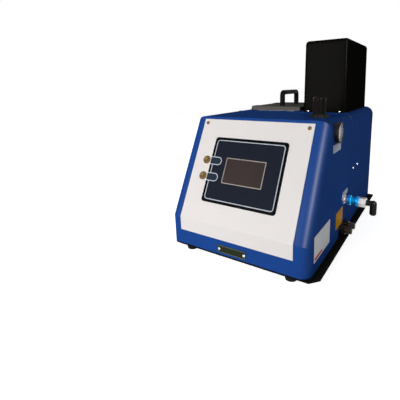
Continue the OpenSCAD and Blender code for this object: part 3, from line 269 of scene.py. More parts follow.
# %% [markdown]
# ## Powder coat
# Powder is sprayed dry on the sheet and baked until it flows. It never flows quite flat: a fine ripple
# called orange peel stays, and it breaks up reflections. Fine noise in a bump gives the ripple. Wide,
# weak noise in the colour and the roughness gives the slightly cloudy look of a large painted sheet.
# Powder is full of pigment up to its surface, so it doesn't turn into a mirror at flat angles as a clear
# lacquer does. A small fixed share of a glossy shader, mixed over the matt one, keeps the sheet dark
# there and still draws highlights.

# %% Powder coat
CLOUDS_PER_M, FLECKS_PER_M, PEEL_PER_M = 9, 420, 650


def powder_coat(name, colour, shade, rough, peel_mm, gloss):
    """Baked powder: a ripple, a cloudy colour, and a gloss that is the same share of light at every angle."""
    coat = Finish(name, name, Specular_IOR_Level=0.0)
    cloud = coat.noise(CLOUDS_PER_M, 3)
    fleck = coat.noise(FLECKS_PER_M, 1)
    coat.wear(Base_Color=coat.blend(0.7 * cloud + 0.3 * fleck, colour, shade))
    coat.wear(Roughness=rough + 0.1 * cloud)
    coat.bump(coat.noise(PEEL_PER_M, 2), peel_mm)
    sheen = coat.add("ShaderNodeBsdfGlossy", {}, {"Roughness": rough, "Normal": coat.ripple})
    body = Wire(coat, coat.shader.outputs[0])
    coat.show(coat.add("ShaderNodeMixShader", {}, {0: gloss, 1: body, 2: sheen}))
    return coat


hood_blue = powder_coat("hood_blue", tint(21, 71, 149), tint(17, 62, 133), 0.42, 0.006, 0.01)
panel_white = powder_coat("panel_white", tint(236, 231, 229), tint(230, 225, 222), 0.4, 0.012, 0.02)
base_black = powder_coat("base_black", tint(10, 10, 11), tint(5, 5, 6), 0.6, 0.03, 0.004)
cover_black = powder_coat("cover_black", tint(15, 14, 10), tint(9, 8, 6), 0.24, 0.01, 0.001)
lid_grey = powder_coat("lid_grey", tint(96, 91, 86), tint(76, 72, 68), 0.5, 0.02, 0.02)
plate_dark = powder_coat("plate_dark", tint(41, 51, 36), tint(31, 40, 27), 0.36, 0.01, 0.008)
dial_white = powder_coat("dial_white", tint(248, 250, 250), tint(242, 245, 245), 0.5, 0.004, 0.01)
needle_black = powder_coat("needle_black", tint(14, 14, 14), tint(9, 9, 9), 0.45, 0.004, 0.01)
print("powder coats made")

# %% [markdown]
# ## Bare metal
# Turned and drawn steel carries fine lines from the tool. Noise that is stretched hard along one axis
# makes such lines, and it goes into the roughness and a shallow bump, so that highlights are drawn out
# across it.

# %% Bare metal
LINES_PER_M, STAINS_PER_M = 260, 35


def bare_metal(name, slot, colour, shade, rough, lines=(30, 1, 1), depth_mm=0.004):
    """Metal with drawn lines along the axis that isn't stretched."""
    metal = Finish(name, slot, Metallic=1.0)
    drawn = metal.noise(LINES_PER_M, 3, lines)
    stain = metal.noise(STAINS_PER_M, 3)
    metal.wear(Base_Color=metal.blend(stain, colour, shade))
    metal.wear(Roughness=rough + 0.16 * drawn)
    metal.bump(drawn, depth_mm)
    return metal


steel = bare_metal("steel", "steel", tint(214, 212, 211), tint(188, 185, 184), 0.2)
# The push buttons are stainless steel. Their brown-gold colour is a painted reflection of warm surroundings;
# the panel screws wear the same finish.
button_steel = bare_metal("button_steel", "steel", tint(112, 92, 60), tint(66, 52, 32), 0.3, (1, 30, 1))
tank_aluminium = bare_metal("tank_aluminium", "tank_aluminium", tint(196, 197, 199), tint(170, 171, 174),
                            0.38, (1, 1, 6), 0.02)
sleeve_blue = bare_metal("sleeve_blue", "sleeve_blue", tint(34, 172, 236), tint(22, 146, 214), 0.22,
                         (1, 1, 1))
frame_steel = bare_metal("frame_steel", "steel", tint(128, 122, 116), tint(96, 90, 86), 0.5)
plate_silver = bare_metal("plate_silver", "steel", tint(92, 101, 113), tint(76, 85, 97), 0.42, (1, 20, 1))
plate_bright = bare_metal("plate_bright", "steel", tint(120, 124, 108), tint(96, 100, 86), 0.4, (1, 20, 1))
nipple_steel = bare_metal("nipple_steel", "nipple_steel", tint(62, 54, 46), tint(34, 30, 27), 0.3, (1, 1, 1))
print("metals made")

# %% [markdown]
# ## Moulded plastic and rubber
# Moulds are spark-eroded, which leaves a fine, even grain on the parts. Two scales of noise make it: a
# fine one for the grain, a wide one for the slight change of gloss across a moulding.

# %% Moulded plastic
PATCHES_PER_M = 40


def moulded(name, slot, colour, shade, rough, grain_per_metre, grain_mm, specular=0.1):
    """Plastic or rubber with a mould's grain."""
    part = Finish(name, slot, Specular_IOR_Level=specular)
    grain = part.noise(grain_per_metre, 2)
    part.wear(Base_Color=part.blend(part.noise(PATCHES_PER_M, 2), colour, shade))
    part.wear(Roughness=rough + 0.12 * grain)
    part.bump(grain, grain_mm)
    return part


black_plastic = moulded("black_plastic", "black_plastic", tint(17, 17, 18), tint(11, 11, 12), 0.4, 1500, 0.02)
handle_black = moulded("handle_black", "handle_black", tint(15, 14, 14), tint(9, 9, 9), 0.4, 900, 0.02, 0.03)
knob_black = moulded("knob_black", "knob_black", tint(23, 18, 15), tint(14, 11, 10), 0.28, 1800, 0.01, 0.03)
foot_rubber = moulded("foot_rubber", "foot_rubber", tint(15, 15, 15), tint(9, 9, 9), 0.7, 700, 0.05)
seal_red = moulded("seal_red", "seal_red", tint(162, 84, 58), tint(140, 70, 48), 0.6, 500, 0.03)
tube_blue = moulded("tube_blue", "tube_blue", tint(60, 150, 205), tint(48, 134, 190), 0.25, 300, 0.005)
board_green = moulded("board_green", "board_green", tint(40, 110, 66), tint(28, 88, 50), 0.35, 200, 0.02)
film_black = moulded("film_black", "overlay_navy", tint(13, 13, 15), tint(9, 9, 11), 0.36, 2600, 0.006, 0.02)
film_navy = moulded("film_navy", "overlay_navy", tint(31, 36, 48), tint(27, 32, 43), 0.4, 2600, 0.006, 0.02)
film_slate = moulded("film_slate", "overlay_navy", tint(44, 53, 67), tint(39, 48, 61), 0.4, 2600, 0.006, 0.02)
film_pale = moulded("film_pale", "panel_white", tint(196, 203, 212), tint(184, 191, 201), 0.4, 2600, 0.004)
film_white = moulded("film_white", "panel_white", tint(232, 233, 233), tint(218, 221, 222), 0.4, 1200, 0.006)
film_amber = moulded("film_amber", "panel_white", tint(214, 152, 30), tint(194, 132, 16), 0.4, 1200, 0.006,
                     0.02)
film_red = moulded("film_red", "panel_white", tint(206, 22, 44), tint(184, 12, 34), 0.4, 1200, 0.006)
print("plastics made")

# %% [markdown]
# ## Glass and woven jacket
# The touch screen is off, so it is a dark, smooth pane with a faint warm cloud in it. The gauge's lens
# must let the dial show and still catch the light, so it mixes a clear shader with a glossy one by how
# far the pane is turned away. That is the same on both faces of the pane, so light gets out of it as it
# got in. The tank's jacket is woven glass fibre: two crossed sines weave it.

# %% Screen, lens and jacket
LENS_SHINE, LENS_SHINE_TURNED = 0.02, 0.24
WEAVE_PITCH = 3 * MM

screen_dark = Finish("screen_dark", "screen_dark", Roughness=0.2, Specular_IOR_Level=0.03)
screen_cloud = screen_dark.noise(22, 2)
screen_dark.wear(Base_Color=screen_dark.blend(screen_cloud, tint(70, 57, 55), tint(54, 49, 49)))

lens_clear = Finish("lens_clear", "lens_clear")
turned = lens_clear.add("ShaderNodeLayerWeight", {}, {"Blend": 0.5}, output="Facing")
clear = lens_clear.add("ShaderNodeBsdfTransparent")
gloss = lens_clear.add("ShaderNodeBsdfGlossy", {}, {"Roughness": 0.04})
shine = LENS_SHINE + LENS_SHINE_TURNED * turned * turned
lens_clear.show(lens_clear.add("ShaderNodeMixShader", {}, {0: shine, 1: clear, 2: gloss}))

jacket_fibre = Finish("jacket_fibre", "jacket_fibre", Roughness=0.9, Specular_IOR_Level=0.2)
warp = jacket_fibre.add("ShaderNodeSeparateXYZ", {}, {0: jacket_fibre.place()}, output="Z")
weft = jacket_fibre.add("ShaderNodeSeparateXYZ", {}, {0: jacket_fibre.place()}, output="Y")
weave = abs((warp * (math.pi / WEAVE_PITCH)).sine()) * abs((weft * (math.pi / WEAVE_PITCH)).sine())
jacket_fibre.wear(Base_Color=jacket_fibre.blend(weave, tint(170, 160, 130), tint(222, 212, 184)))
jacket_fibre.bump(weave, 0.6)
print("materials so far:", len(bpy.data.materials))

# %% [markdown]
# ## Dressing the solids
# A solid keeps its mesh and takes a finish in its material slot. The list below reads as a paint plan:
# each finish with the pieces that wear it.

# %% Paint plan
def dress(finish, *names):
    """Gives solids of the frame a finish."""
    for name in names:
        mesh = frame["nodes"][name].data
        mesh.materials.clear()
        mesh.materials.append(finish.material)


dress(hood_blue, "front_hood", "rear_hood")
dress(panel_white, "front_panel")
dress(base_black, "base_plate")
dress(cover_black, "pump_cover")
dress(lid_grey, "tank_lid", "hinge_brackets")
dress(plate_dark, "name_plate")
dress(dial_white, "gauge_dial")
dress(needle_black, "gauge_needle")
dress(steel, "foot_screws", "small_screws", "inlet_bulkhead", "slide_valve_body",
      "tank_heaters", "tank_sensors", "standoffs", "feed_pipe", "handle_screws", "hinge_pins", "glue_filter",
      "pump_body", "pump_columns", "pump_plunger", "piston_rod", "tie_rods", "heat_shield", "power_supply")
dress(button_steel, "button_barrels", "upper_button", "lower_button", "panel_screws")
dress(frame_steel, "screen_frame")
dress(tank_aluminium, "tank", "glue_manifold", "air_piston", "air_cylinder", "cylinder_plates")
dress(sleeve_blue, "slide_valve_sleeve")
dress(nipple_steel, "hose_nipples")
dress(black_plastic, "screen_housing", "regulator_body", "regulator_ring_nut", "gauge_case", "air_elbow",
      "shift_valve", "heater_relay", "terminal_block", "cable_gland")
dress(handle_black, "lid_handle")
dress(knob_black, "regulator_knob", "elbow_collet")
dress(foot_rubber, "rubber_feet")
dress(seal_red, "lid_seal")
dress(tube_blue, "air_tubes")
dress(board_green, "control_board")
dress(film_black, "control_overlay")
dress(screen_dark, "screen_glass")
dress(lens_clear, "gauge_lens")
dress(jacket_fibre, "tank_jacket")
print("dressed", sum(1 for o in frame["nodes"].values() if o.data.materials), "solids")

# %% [markdown]
# ## Making a piece
# A piece is drawn as a bmesh in millimetres on its face. One function lays it on the face, turns it into
# an object at the origin, shades it smooth except at sharp edges, gives it its finish and lets it ride on
# a body.

# %% Finishing a piece
SHARP_DEGREES = 35


def make_piece(name, bm, plane, finish, body="cabinet"):
    """Turns a bmesh in millimetres on a face into a finished piece that rides on a body."""
    bmesh.ops.transform(bm, matrix=plane, verts=bm.verts)
    bmesh.ops.recalc_face_normals(bm, faces=bm.faces)
    mesh = bpy.data.meshes.new(name)
    bm.to_mesh(mesh)
    bm.free()
    mesh.shade_smooth()
    mesh.set_sharp_from_angle(angle=math.radians(SHARP_DEGREES))
    mesh.materials.append(finish.material)
    piece = bpy.data.objects.new(name, mesh)
    bpy.context.scene.collection.objects.link(piece)
    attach(piece, body)
    print(name, len(mesh.polygons), "faces")
    return piece

# %% [markdown]
# ## Pump cover
# The real cover is a deep-drawn box: round along every edge but its foot, and a little narrower at the
# top so that it leaves its die. A cube with its upper corners drawn in and its edges bevelled is just
# that. The pump works inside it, so the cube loses its bottom and gets a sheet's wall. Four tabs at the
# foot take its screws.

# %% Pump cover
COVER_TAB = (14, 10, 2)
COVER_TAB_IN = 9
COVER_LEAN = 2
COVER_ROUND = 9
COVER_WALL = 2.5
TAB_ROUND = 2
ROUND_STEPS = 8
SMALL_STEPS = 4


def add_box(bm, size, centre):
    """A box of that size in millimetres, with its middle at centre."""
    made = bmesh.ops.create_cube(bm, size=1)["verts"]
    bmesh.ops.scale(bm, vec=size, verts=made)
    bmesh.ops.translate(bm, vec=centre, verts=made)
    return made


def round_edges(bm, edges, radius, segments):
    """Bevels edges to a radius in millimetres."""
    bmesh.ops.bevel(bm, geom=edges, offset=radius, offset_type="OFFSET", segments=segments, profile=0.5,
                    affect="EDGES", clamp_overlap=True, material=-1)


cover_lo, cover_hi = (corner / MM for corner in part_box("pump_cover"))
cover_mid = (cover_lo + cover_hi) / 2
cover_size = cover_hi - cover_lo - Vector((0, 2 * COVER_TAB[1], 0))
bm = bmesh.new()
for vert in add_box(bm, cover_size, cover_mid):
    if vert.co.z > cover_mid.z:
        vert.co.x -= math.copysign(COVER_LEAN, vert.co.x - cover_mid.x)
        vert.co.y -= math.copysign(COVER_LEAN, vert.co.y - cover_mid.y)
drawn = [e for e in bm.edges if max(v.co.z for v in e.verts) > cover_mid.z]
round_edges(bm, drawn, COVER_ROUND, ROUND_STEPS)
bottom = min(bm.faces, key=lambda face: face.calc_center_median().z)
bmesh.ops.delete(bm, geom=[bottom], context="FACES_ONLY")
bmesh.ops.recalc_face_normals(bm, faces=bm.faces)
bmesh.ops.solidify(bm, geom=bm.faces[:], thickness=COVER_WALL)
for side_x in (-1, 1):
    for side_y in (-1, 1):
        tab_x = cover_mid.x + side_x * (cover_size.x / 2 - COVER_TAB_IN - COVER_TAB[0] / 2)
        tab_y = cover_mid.y + side_y * (cover_size.y + COVER_TAB[1]) / 2
        tab = add_box(bm, COVER_TAB, (tab_x, tab_y, cover_lo.z + COVER_TAB[2] / 2))
        outer = [e for e in bm.edges if all(v in tab for v in e.verts)
                 and all((v.co.y - cover_mid.y) * side_y > (tab_y - cover_mid.y) * side_y for v in e.verts)
                 and abs(e.verts[0].co.z - e.verts[1].co.z) > TAB_ROUND / 2]
        round_edges(bm, outer, TAB_ROUND, SMALL_STEPS)
cover_shell = make_piece("cover_shell", bm, frame_mm, cover_black)
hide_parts("pump_cover")

# %% [markdown]
# ## Base plate
# The base is a flat black plate with a flange along the right side. Its front right corner is cut off at a
# slant. A copy of the solid, with its loose triangles merged, is cut by one upright plane, and the cut is
# closed again.

# %% Base plate with a cut corner
CORNER_BACK = 19 * MM
MERGE = 1e-6


def merged_copy(name):
    """A copy of a solid's mesh with its loose triangles merged."""
    bm = bmesh.new()
    bm.from_mesh(frame["nodes"][name].data)
    bmesh.ops.remove_doubles(bm, verts=bm.verts, dist=MERGE)
    return bm


def edges_of(geom):
    """The edges among the things that an operator gives back."""
    return [thing for thing in geom if isinstance(thing, bmesh.types.BMEdge)]


def bisect(bm, point, normal, clear=False):
    """Cuts a bmesh at a plane, clears what lies behind it where asked, and gives the cut's edges."""
    made = bmesh.ops.bisect_plane(bm, geom=bm.verts[:] + bm.edges[:] + bm.faces[:], plane_co=point,
                                  plane_no=normal, clear_inner=clear)
    return edges_of(made["geom_cut"])


base_lo, base_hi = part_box("base_plate")
corner_from = Vector((hood_hi.x, base_lo.y, 0))
corner_to = Vector((base_hi.x, base_lo.y + CORNER_BACK, 0))
bm = merged_copy("base_plate")
bmesh.ops.holes_fill(bm, edges=bisect(bm, corner_from, Z.cross(corner_to - corner_from), clear=True))
base_cut = make_piece("base_cut_corner", bm, Matrix.Identity(4), base_black)
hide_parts("base_plate")

# %% [markdown]
# ## Rolled edge at the seam
# The front hood's rear edge is rolled over, so that no raw sheet shows where the rear hood meets it. The
# roll is a small round section drawn along the hood's outline: extruded along the straight stretches and
# spun round the two upper bends.

# %% Rolled edge
ROLL_R = 0.9
TOP_BEND = 22
BEND_STEPS = 10
ROLL_SIDES = 12


def verts_of(geom):
    """The vertices among the things that an operator gives back."""
    return [thing for thing in geom if isinstance(thing, bmesh.types.BMVert)]


def carry_on(bm, section, way):
    """Extrudes a section's edges along a way and gives the section at its end."""
    made = bmesh.ops.extrude_edge_only(bm, edges=section)["geom"]
    bmesh.ops.translate(bm, vec=way, verts=verts_of(made))
    return edges_of(made)


def bend(bm, section, centre):
    """Spins a section a quarter turn over a bend and gives the section at its end."""
    made = bmesh.ops.spin(bm, geom=section, cent=centre, axis=-Y, angle=math.pi / 2, steps=BEND_STEPS)
    return edges_of(made["geom_last"])


hood_low, hood_high = hood_lo / MM, hood_hi / MM
seam_y = hood_high.y - ROLL_R
bm = bmesh.new()
bmesh.ops.create_circle(bm, segments=ROLL_SIDES, radius=ROLL_R)
bmesh.ops.translate(bm, vec=(hood_high.x, seam_y, hood_low.z), verts=bm.verts)
upright = Vector((0, 0, hood_high.z - hood_low.z - TOP_BEND))
across = Vector((hood_low.x - hood_high.x + 2 * TOP_BEND, 0, 0))
section = carry_on(bm, bm.edges[:], upright)
section = bend(bm, section, (hood_high.x - TOP_BEND, seam_y, hood_high.z - TOP_BEND))
section = carry_on(bm, section, across)
section = bend(bm, section, (hood_low.x + TOP_BEND, seam_y, hood_high.z - TOP_BEND))
carry_on(bm, section, -upright)
bmesh.ops.holes_fill(bm, edges=[e for e in bm.edges if e.is_boundary])
make_piece("rolled_edge", bm, frame_mm, hood_blue)

# %% [markdown]
# ## Screws
# A pan head is a low cylinder with a rounded rim and a cross recess. The recess is cut with operators:
# planes bisect the head along the cross's edges, and the faces inside the cross are extruded inwards. The
# screws' places come from the solids: each loose part of the screws' node is one screw.

# %% Screw heads
SCREW_SIDES = 32
DOME_SHARE = 0.7
RECESS_SHARE = (0.1, 0.33)
RECESS_DEEP = 0.45
UPWARD = 0.99
PANEL_HEAD = (8, 2.6)


def join_into(bm, other):
    """Adds a finished bmesh to another and frees it."""
    part = bpy.data.meshes.new("part")
    other.to_mesh(part)
    other.free()
    bm.from_mesh(part)
    bpy.data.meshes.remove(part)


def add_screw(bm, across, up, seat, diameter, height):
    """A cross-recessed pan head that stands on seat, in millimetres on a face."""
    head = bmesh.new()
    bmesh.ops.create_cone(head, cap_ends=True, segments=SCREW_SIDES, radius1=diameter / 2,
                          radius2=diameter / 2, depth=height)
    rim = [e for e in head.edges if all(v.co.z > 0 for v in e.verts)]
    round_edges(head, rim, height * DOME_SHARE, SMALL_STEPS)
    half, reach = (share * diameter for share in RECESS_SHARE)
    for axis in (X, Y):
        for cut in (-reach, -half, half, reach):
            bisect(head, axis * cut, axis)

    def in_cross(face):
        spot = face.calc_center_median()
        near, far = sorted((abs(spot.x), abs(spot.y)))
        return face.normal.z > UPWARD and spot.z > 0 and near < half and far < reach

    bmesh.ops.recalc_face_normals(head, faces=head.faces)
    cross = [f for f in head.faces if in_cross(f)]
    sunk = bmesh.ops.extrude_face_region(head, geom=cross)["geom"]
    bmesh.ops.translate(head, vec=-RECESS_DEEP * height * Z, verts=verts_of(sunk))
    bmesh.ops.delete(head, geom=[f for f in cross if f.is_valid], context="FACES_ONLY")
    bmesh.ops.translate(head, vec=(across, up, seat + height / 2), verts=head.verts)
    join_into(bm, head)


def loose_parts(name):
    """The corner points of each separate solid in a node, in metres."""
    bm = merged_copy(name)
    seen = set()
    parts = []
    for first in bm.verts:
        if first in seen:
            continue
        seen.add(first)
        linked = [first]
        for vert in linked:
            near = [e.other_vert(vert) for e in vert.link_edges]
            fresh = [v for v in near if v not in seen]
            seen.update(fresh)
            linked.extend(fresh)
        parts.append([vert.co.copy() for vert in linked])
    bm.free()
    return parts


def seat_of(part, plane, height):
    """Where a screw stands on a face: across, up, and the seat under its head."""
    across, up, out = zip(*(plane.inverted() @ point for point in part))
    return (min(across) + max(across)) / 2, (min(up) + max(up)) / 2, max(out) - height


bm = bmesh.new()
for part in loose_parts("panel_screws"):
    add_screw(bm, *seat_of(part, slope, PANEL_HEAD[1]), *PANEL_HEAD)
panel_screw_heads = make_piece("panel_screw_heads", bm, slope, button_steel)
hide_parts("panel_screws")

# %% [markdown]
# The small screws share one node but stand on three faces. Height and depth tell them apart: those of the
# pump cover stand above the hood, those of the name plate in front of it, and the rest are on the right
# wall.

# %% Small screws
SMALL_HEAD = (5.6, 1.8)
NEAR = 10

small_faces = {"front": (front, bmesh.new()), "right": (right, bmesh.new()), "top": (frame_mm, bmesh.new())}
for part in loose_parts("small_screws"):
    middle = sum(part, Vector()) / len(part) / MM
    above, ahead = middle.z > hood_high.z - NEAR, middle.y < hood_low.y + NEAR
    plane, heads = small_faces["top" if above else "front" if ahead else "right"]
    add_screw(heads, *seat_of(part, plane, SMALL_HEAD[1]), *SMALL_HEAD)
small_heads = [make_piece(f"small_screw_heads_{side}", heads, plane, steel)
               for side, (plane, heads) in small_faces.items()]
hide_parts("small_screws")

# %% [markdown]
# ## Hose threads
# The glue hoses screw on to two nipples at the foot of the right side. The solids carry a plain cylinder
# there. A thread is one ridge that winds along it, so a small triangle is spun round the nipple's axis
# and moved on by a little at every step.

# %% Hose threads
THREAD_PITCH = 1.4
THREAD_HIGH = 0.5
THREAD_SUNK = 0.1
THREAD_HALF = 0.45
THREAD_TURNS = 8
THREAD_STEPS = 24

bm = bmesh.new()
for part in loose_parts("hose_nipples"):
    points = [point / MM for point in part]
    tip = max(p.x for p in points)
    axis_y, axis_z = ((min(p[i] for p in points) + max(p[i] for p in points)) / 2 for i in (1, 2))
    thread_r = max(p.z - axis_z for p in points if p.x > tip - THREAD_SUNK)
    start = tip - THREAD_PITCH * (THREAD_TURNS + 1)
    corners = ((-THREAD_HALF, -THREAD_SUNK), (0, THREAD_HIGH), (THREAD_HALF, -THREAD_SUNK))
    ridge = [bm.verts.new((start + share * THREAD_PITCH, axis_y, axis_z + thread_r + out))
             for share, out in corners]
    section = [bm.edges.new((ridge[i - 1], ridge[i])) for i in range(3)]
    bmesh.ops.spin(bm, geom=section, cent=(start, axis_y, axis_z), axis=X, angle=math.tau * THREAD_TURNS,
                   dvec=THREAD_PITCH / THREAD_STEPS * X, steps=THREAD_STEPS * THREAD_TURNS)
bmesh.ops.holes_fill(bm, edges=[e for e in bm.edges if e.is_boundary])
make_piece("nipple_threads", bm, frame_mm, nipple_steel)

# %% [markdown]
# ## Printed film
# The control overlay is a printed film: a black border, a pale line inside it, a navy field, and two pale
# pockets that point at the push buttons. Each print is a plate a tenth of a millimetre thick on the film.
# A rectangle with bevelled corners, inset and emptied, is a line with round corners.

# %% Flat plates and lines
PRINT_T = 0.12
CORNER_STEPS = 8


def flat_shape(bm, width, height, centre, radius, keep=None):
    """A flat rounded rectangle. keep lists which corners are round, as (x side, y side)."""
    made = bmesh.ops.create_grid(bm, x_segments=1, y_segments=1, size=0.5)["verts"]
    bmesh.ops.scale(bm, vec=(width, height, 1), verts=made)
    corners = [v for v in made if keep is None or (v.co.x > 0, v.co.y > 0) in keep]
    bmesh.ops.bevel(bm, geom=corners, offset=radius, offset_type="OFFSET", segments=CORNER_STEPS,
                    profile=0.5, affect="VERTICES", clamp_overlap=True, material=-1)
    bmesh.ops.translate(bm, vec=centre, verts=bm.verts)


def thicken(bm, height):
    """Gives flat faces a thickness, away from the face that they lie on."""
    raised = bmesh.ops.extrude_face_region(bm, geom=bm.faces[:], use_keep_orig=True)["geom"]
    bmesh.ops.translate(bm, vec=height * Z, verts=verts_of(raised))


def plate(width, height, centre, radius, thick, keep=None):
    """A thin plate with round corners, as its own bmesh."""
    part = bmesh.new()
    flat_shape(part, width, height, centre, radius, keep)
    thicken(part, thick)
    return part


def outline(width, height, centre, radius, line, thick, keep=None, open_at=None):
    """A line along a rounded rectangle, as its own bmesh. open_at cuts the line off left of that place."""
    part = bmesh.new()
    flat_shape(part, width, height, centre, radius, keep)
    inset = bmesh.ops.inset_individual(part, faces=part.faces[:], thickness=line, use_even_offset=True)
    inner = [f for f in part.faces if f not in inset["faces"]]
    bmesh.ops.delete(part, geom=inner, context="FACES_ONLY")
    if open_at is not None:
        bisect(part, open_at * X, X, clear=True)
    thicken(part, thick)
    return part

# %% [markdown]
# The print follows the film and the buttons. Their corner points, taken back to millimetres on the slope,
# tell how large the film is and how high up each button sits.

# %% Film and buttons on the slope
def flat_points(node, plane):
    """The corner points of a node in millimetres on a face."""
    return [plane.inverted() @ v.co for v in frame["nodes"][node].data.vertices]


def flat_box(node, plane):
    """The lowest and highest corner of a node in millimetres on a face."""
    axes = list(zip(*flat_points(node, plane)))
    return Vector(min(axis) for axis in axes), Vector(max(axis) for axis in axes)


overlay_lo, overlay_hi = flat_box("control_overlay", slope)
overlay_size = overlay_hi - overlay_lo
film_at = Vector(((overlay_lo.x + overlay_hi.x) / 2, (overlay_lo.y + overlay_hi.y) / 2, overlay_hi.z))
button_up = []
for name in ("upper_button", "lower_button"):
    spots = flat_points(name, slope)
    button_up.append(sum(spot.y for spot in spots) / len(spots))
print("overlay", [round(v, 2) for v in overlay_size], "buttons at", [round(v, 1) for v in button_up])

# %% [markdown]
# The navy field lies inside the pale line and has a window for the screen. Four cuts along the window's
# edges leave one face inside them, and that face is deleted before the field gets its thickness.

# %% Field with a window
BORDER = 6.3
LINE = 1.9
LINE_ROUND = 7

window_lo, window_hi = flat_box("screen_frame", slope)
field_w, field_h = (overlay_size[i] - 2 * (BORDER + LINE) for i in (0, 1))
field = bmesh.new()
flat_shape(field, field_w, field_h, film_at, LINE_ROUND - LINE)
for edge in (window_lo, window_hi):
    bisect(field, edge, X)
    bisect(field, edge, Y)


def in_window(face):
    """Whether a face of the field lies inside the screen's window."""
    spot = face.calc_center_median()
    return all(window_lo[i] < spot[i] < window_hi[i] for i in (0, 1))


bmesh.ops.delete(field, geom=[f for f in field.faces if in_window(f)], context="FACES_ONLY")
thicken(field, PRINT_T)
make_piece("overlay_field", field, slope, film_navy)

# %% [markdown]
# The pockets run off the film's left edge. Each line is drawn too long to the left and cut off at that
# edge, so only the two right corners need to be round.

# %% Line and pockets
POCKET = (30, 19)
POCKET_ROUND = 9.3
POCKET_T = 0.2
RIGHT_CORNERS = {(True, False), (True, True)}

pale = outline(field_w + 2 * LINE, field_h + 2 * LINE, film_at, LINE_ROUND, LINE, PRINT_T)
fills = bmesh.new()
fill_w, fill_h = POCKET[0] - LINE, POCKET[1] - 2 * LINE
for up in button_up:
    line_at = (overlay_lo.x + (POCKET[0] - POCKET_ROUND) / 2, up, film_at.z)
    join_into(pale, outline(POCKET[0] + POCKET_ROUND, POCKET[1], line_at, POCKET_ROUND, LINE, POCKET_T,
                            RIGHT_CORNERS, overlay_lo.x))
    fill_at = (overlay_lo.x + fill_w / 2, up, film_at.z)
    join_into(fills, plate(fill_w, fill_h, fill_at, POCKET_ROUND - LINE, POCKET_T, RIGHT_CORNERS))
make_piece("overlay_lines", pale, slope, film_pale)
make_piece("overlay_pockets", fills, slope, film_slate)

# %% [markdown]
# ## Lid handle
# The handle is a moulded bridge with generous corners. It is the upper half of a rounded frame: the same
# line along a rounded rectangle that drew the print, cut off at the lid, made as thick as the bar is
# wide, and then rounded along all its edges for the hand.

# %% Handle
HANDLE_BAR = 13
HANDLE_CORNER = 17
HANDLE_SOFT = 3.2
HANDLE_STEPS = 5
BEND_DEGREES = 60

handle_lo, handle_hi = (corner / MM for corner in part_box("lid_handle"))
handle_size = handle_hi - handle_lo
foot = Vector((handle_hi.x, (handle_lo.y + handle_hi.y) / 2, handle_lo.z)) * MM
bridge_plane = face_plane(foot, Z, Y, -X)
bridge = outline(2 * handle_size.z, handle_size.y, (0, 0, 0), HANDLE_CORNER, HANDLE_BAR, handle_size.x,
                 open_at=0)
bmesh.ops.recalc_face_normals(bridge, faces=bridge.faces)
long_edges = [e for e in bridge.edges if e.calc_face_angle(0) > math.radians(BEND_DEGREES)
              and max(v.co.x for v in e.verts) > HANDLE_SOFT]
round_edges(bridge, long_edges, HANDLE_SOFT, HANDLE_STEPS)
handle_bridge = make_piece("handle_bridge", bridge, bridge_plane, handle_black, "lid")
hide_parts("lid_handle")

# %% [markdown]
# ## Blank plates
# Units like this one carry glued foil and metal plates on the right side. They are left blank here: thin
# plates with round corners, with a fine bevel at the edge that catches the light as a stamped plate does.
# Each line of the table gives a plate's finish, how far its corner is from the hood's front and from the
# deck, its width and its height.

# %% Side plates
PLATE_T = 0.4
PLATE_ROUND = 1.5
PLATE_EDGE = 0.12
EDGE_STEPS = 2
STRIPE_H = 6

side_plates = {
    "gauge_plate": (plate_silver, 128, 214, 57, 17),
    "valve_plate": (plate_silver, 219, 92, 46, 12),
    "amber_plate": (film_amber, 169, 29, 57, 40),
    "front_side_plate": (film_white, 26, 23, 52, 53),
    "rear_side_plate": (film_white, 79, 23, 45, 53),
}
for name, (finish, from_front, from_deck, width, height) in side_plates.items():
    bm = plate(width, height, (from_front + width / 2, from_deck + height / 2, 0), PLATE_ROUND, PLATE_T)
    upper = [e for e in bm.edges if all(v.co.z > PLATE_T / 2 for v in e.verts)]
    round_edges(bm, upper, PLATE_EDGE, EDGE_STEPS)
    make_piece(name, bm, right, finish)

_, from_front, from_deck, width, _ = side_plates["front_side_plate"]
stripe_at = (from_front + width / 2, from_deck + STRIPE_H, PLATE_T)
stripe = plate(width - 4 * PLATE_ROUND, STRIPE_H, stripe_at, PLATE_ROUND / 3, PRINT_T)
make_piece("side_stripe", stripe, right, film_red)

# %% [markdown]
# The name plate on the front is a solid already. A raised rim, as stamping leaves it, finishes it.

# %% Name plate rim
RIM = 0.7
RIM_IN = 0.8

plate_lo, plate_hi = flat_box("name_plate", front)
plate_mid = (plate_lo + plate_hi) / 2
rim_w, rim_h = (plate_hi[i] - plate_lo[i] - 2 * RIM_IN for i in (0, 1))
rim = outline(rim_w, rim_h, (plate_mid.x, plate_mid.y, plate_hi.z), PLATE_ROUND, RIM, PRINT_T)
make_piece("name_plate_rim", rim, front, plate_bright)

# %% [markdown]
# ## Gauge scale
# A pressure gauge's scale runs over three quarters of a turn. Its marks are printed on the dial: short
# bars at each step, longer ones at every fourth, with plain numbers inside them. The needle's joint says
# how far the scale runs: its limits are the turns from its rest to both stops. The middle of the scale is
# at the top.

# %% Gauge marks
MARKS = 21
LONG_EVERY = 4
MARK_LONG = (2.6, 0.55)
MARK_SHORT = (1.6, 0.3)
SCALE_EDGE = 0.8
NUMBER_IN = 5.6
NUMBER_SIZE = 3.4
INK_T = 0.06
STEPS_PER_UNIT = 2

needle_back, needle_on = joint_of("needle_turn")["range_deg"]
scale_sweep = math.radians(needle_on - needle_back)
dial_lo, dial_hi = flat_box("gauge_dial", right)
dial_mid = (dial_lo + dial_hi) / 2
dial_r = (dial_hi.x - dial_lo.x) / 2


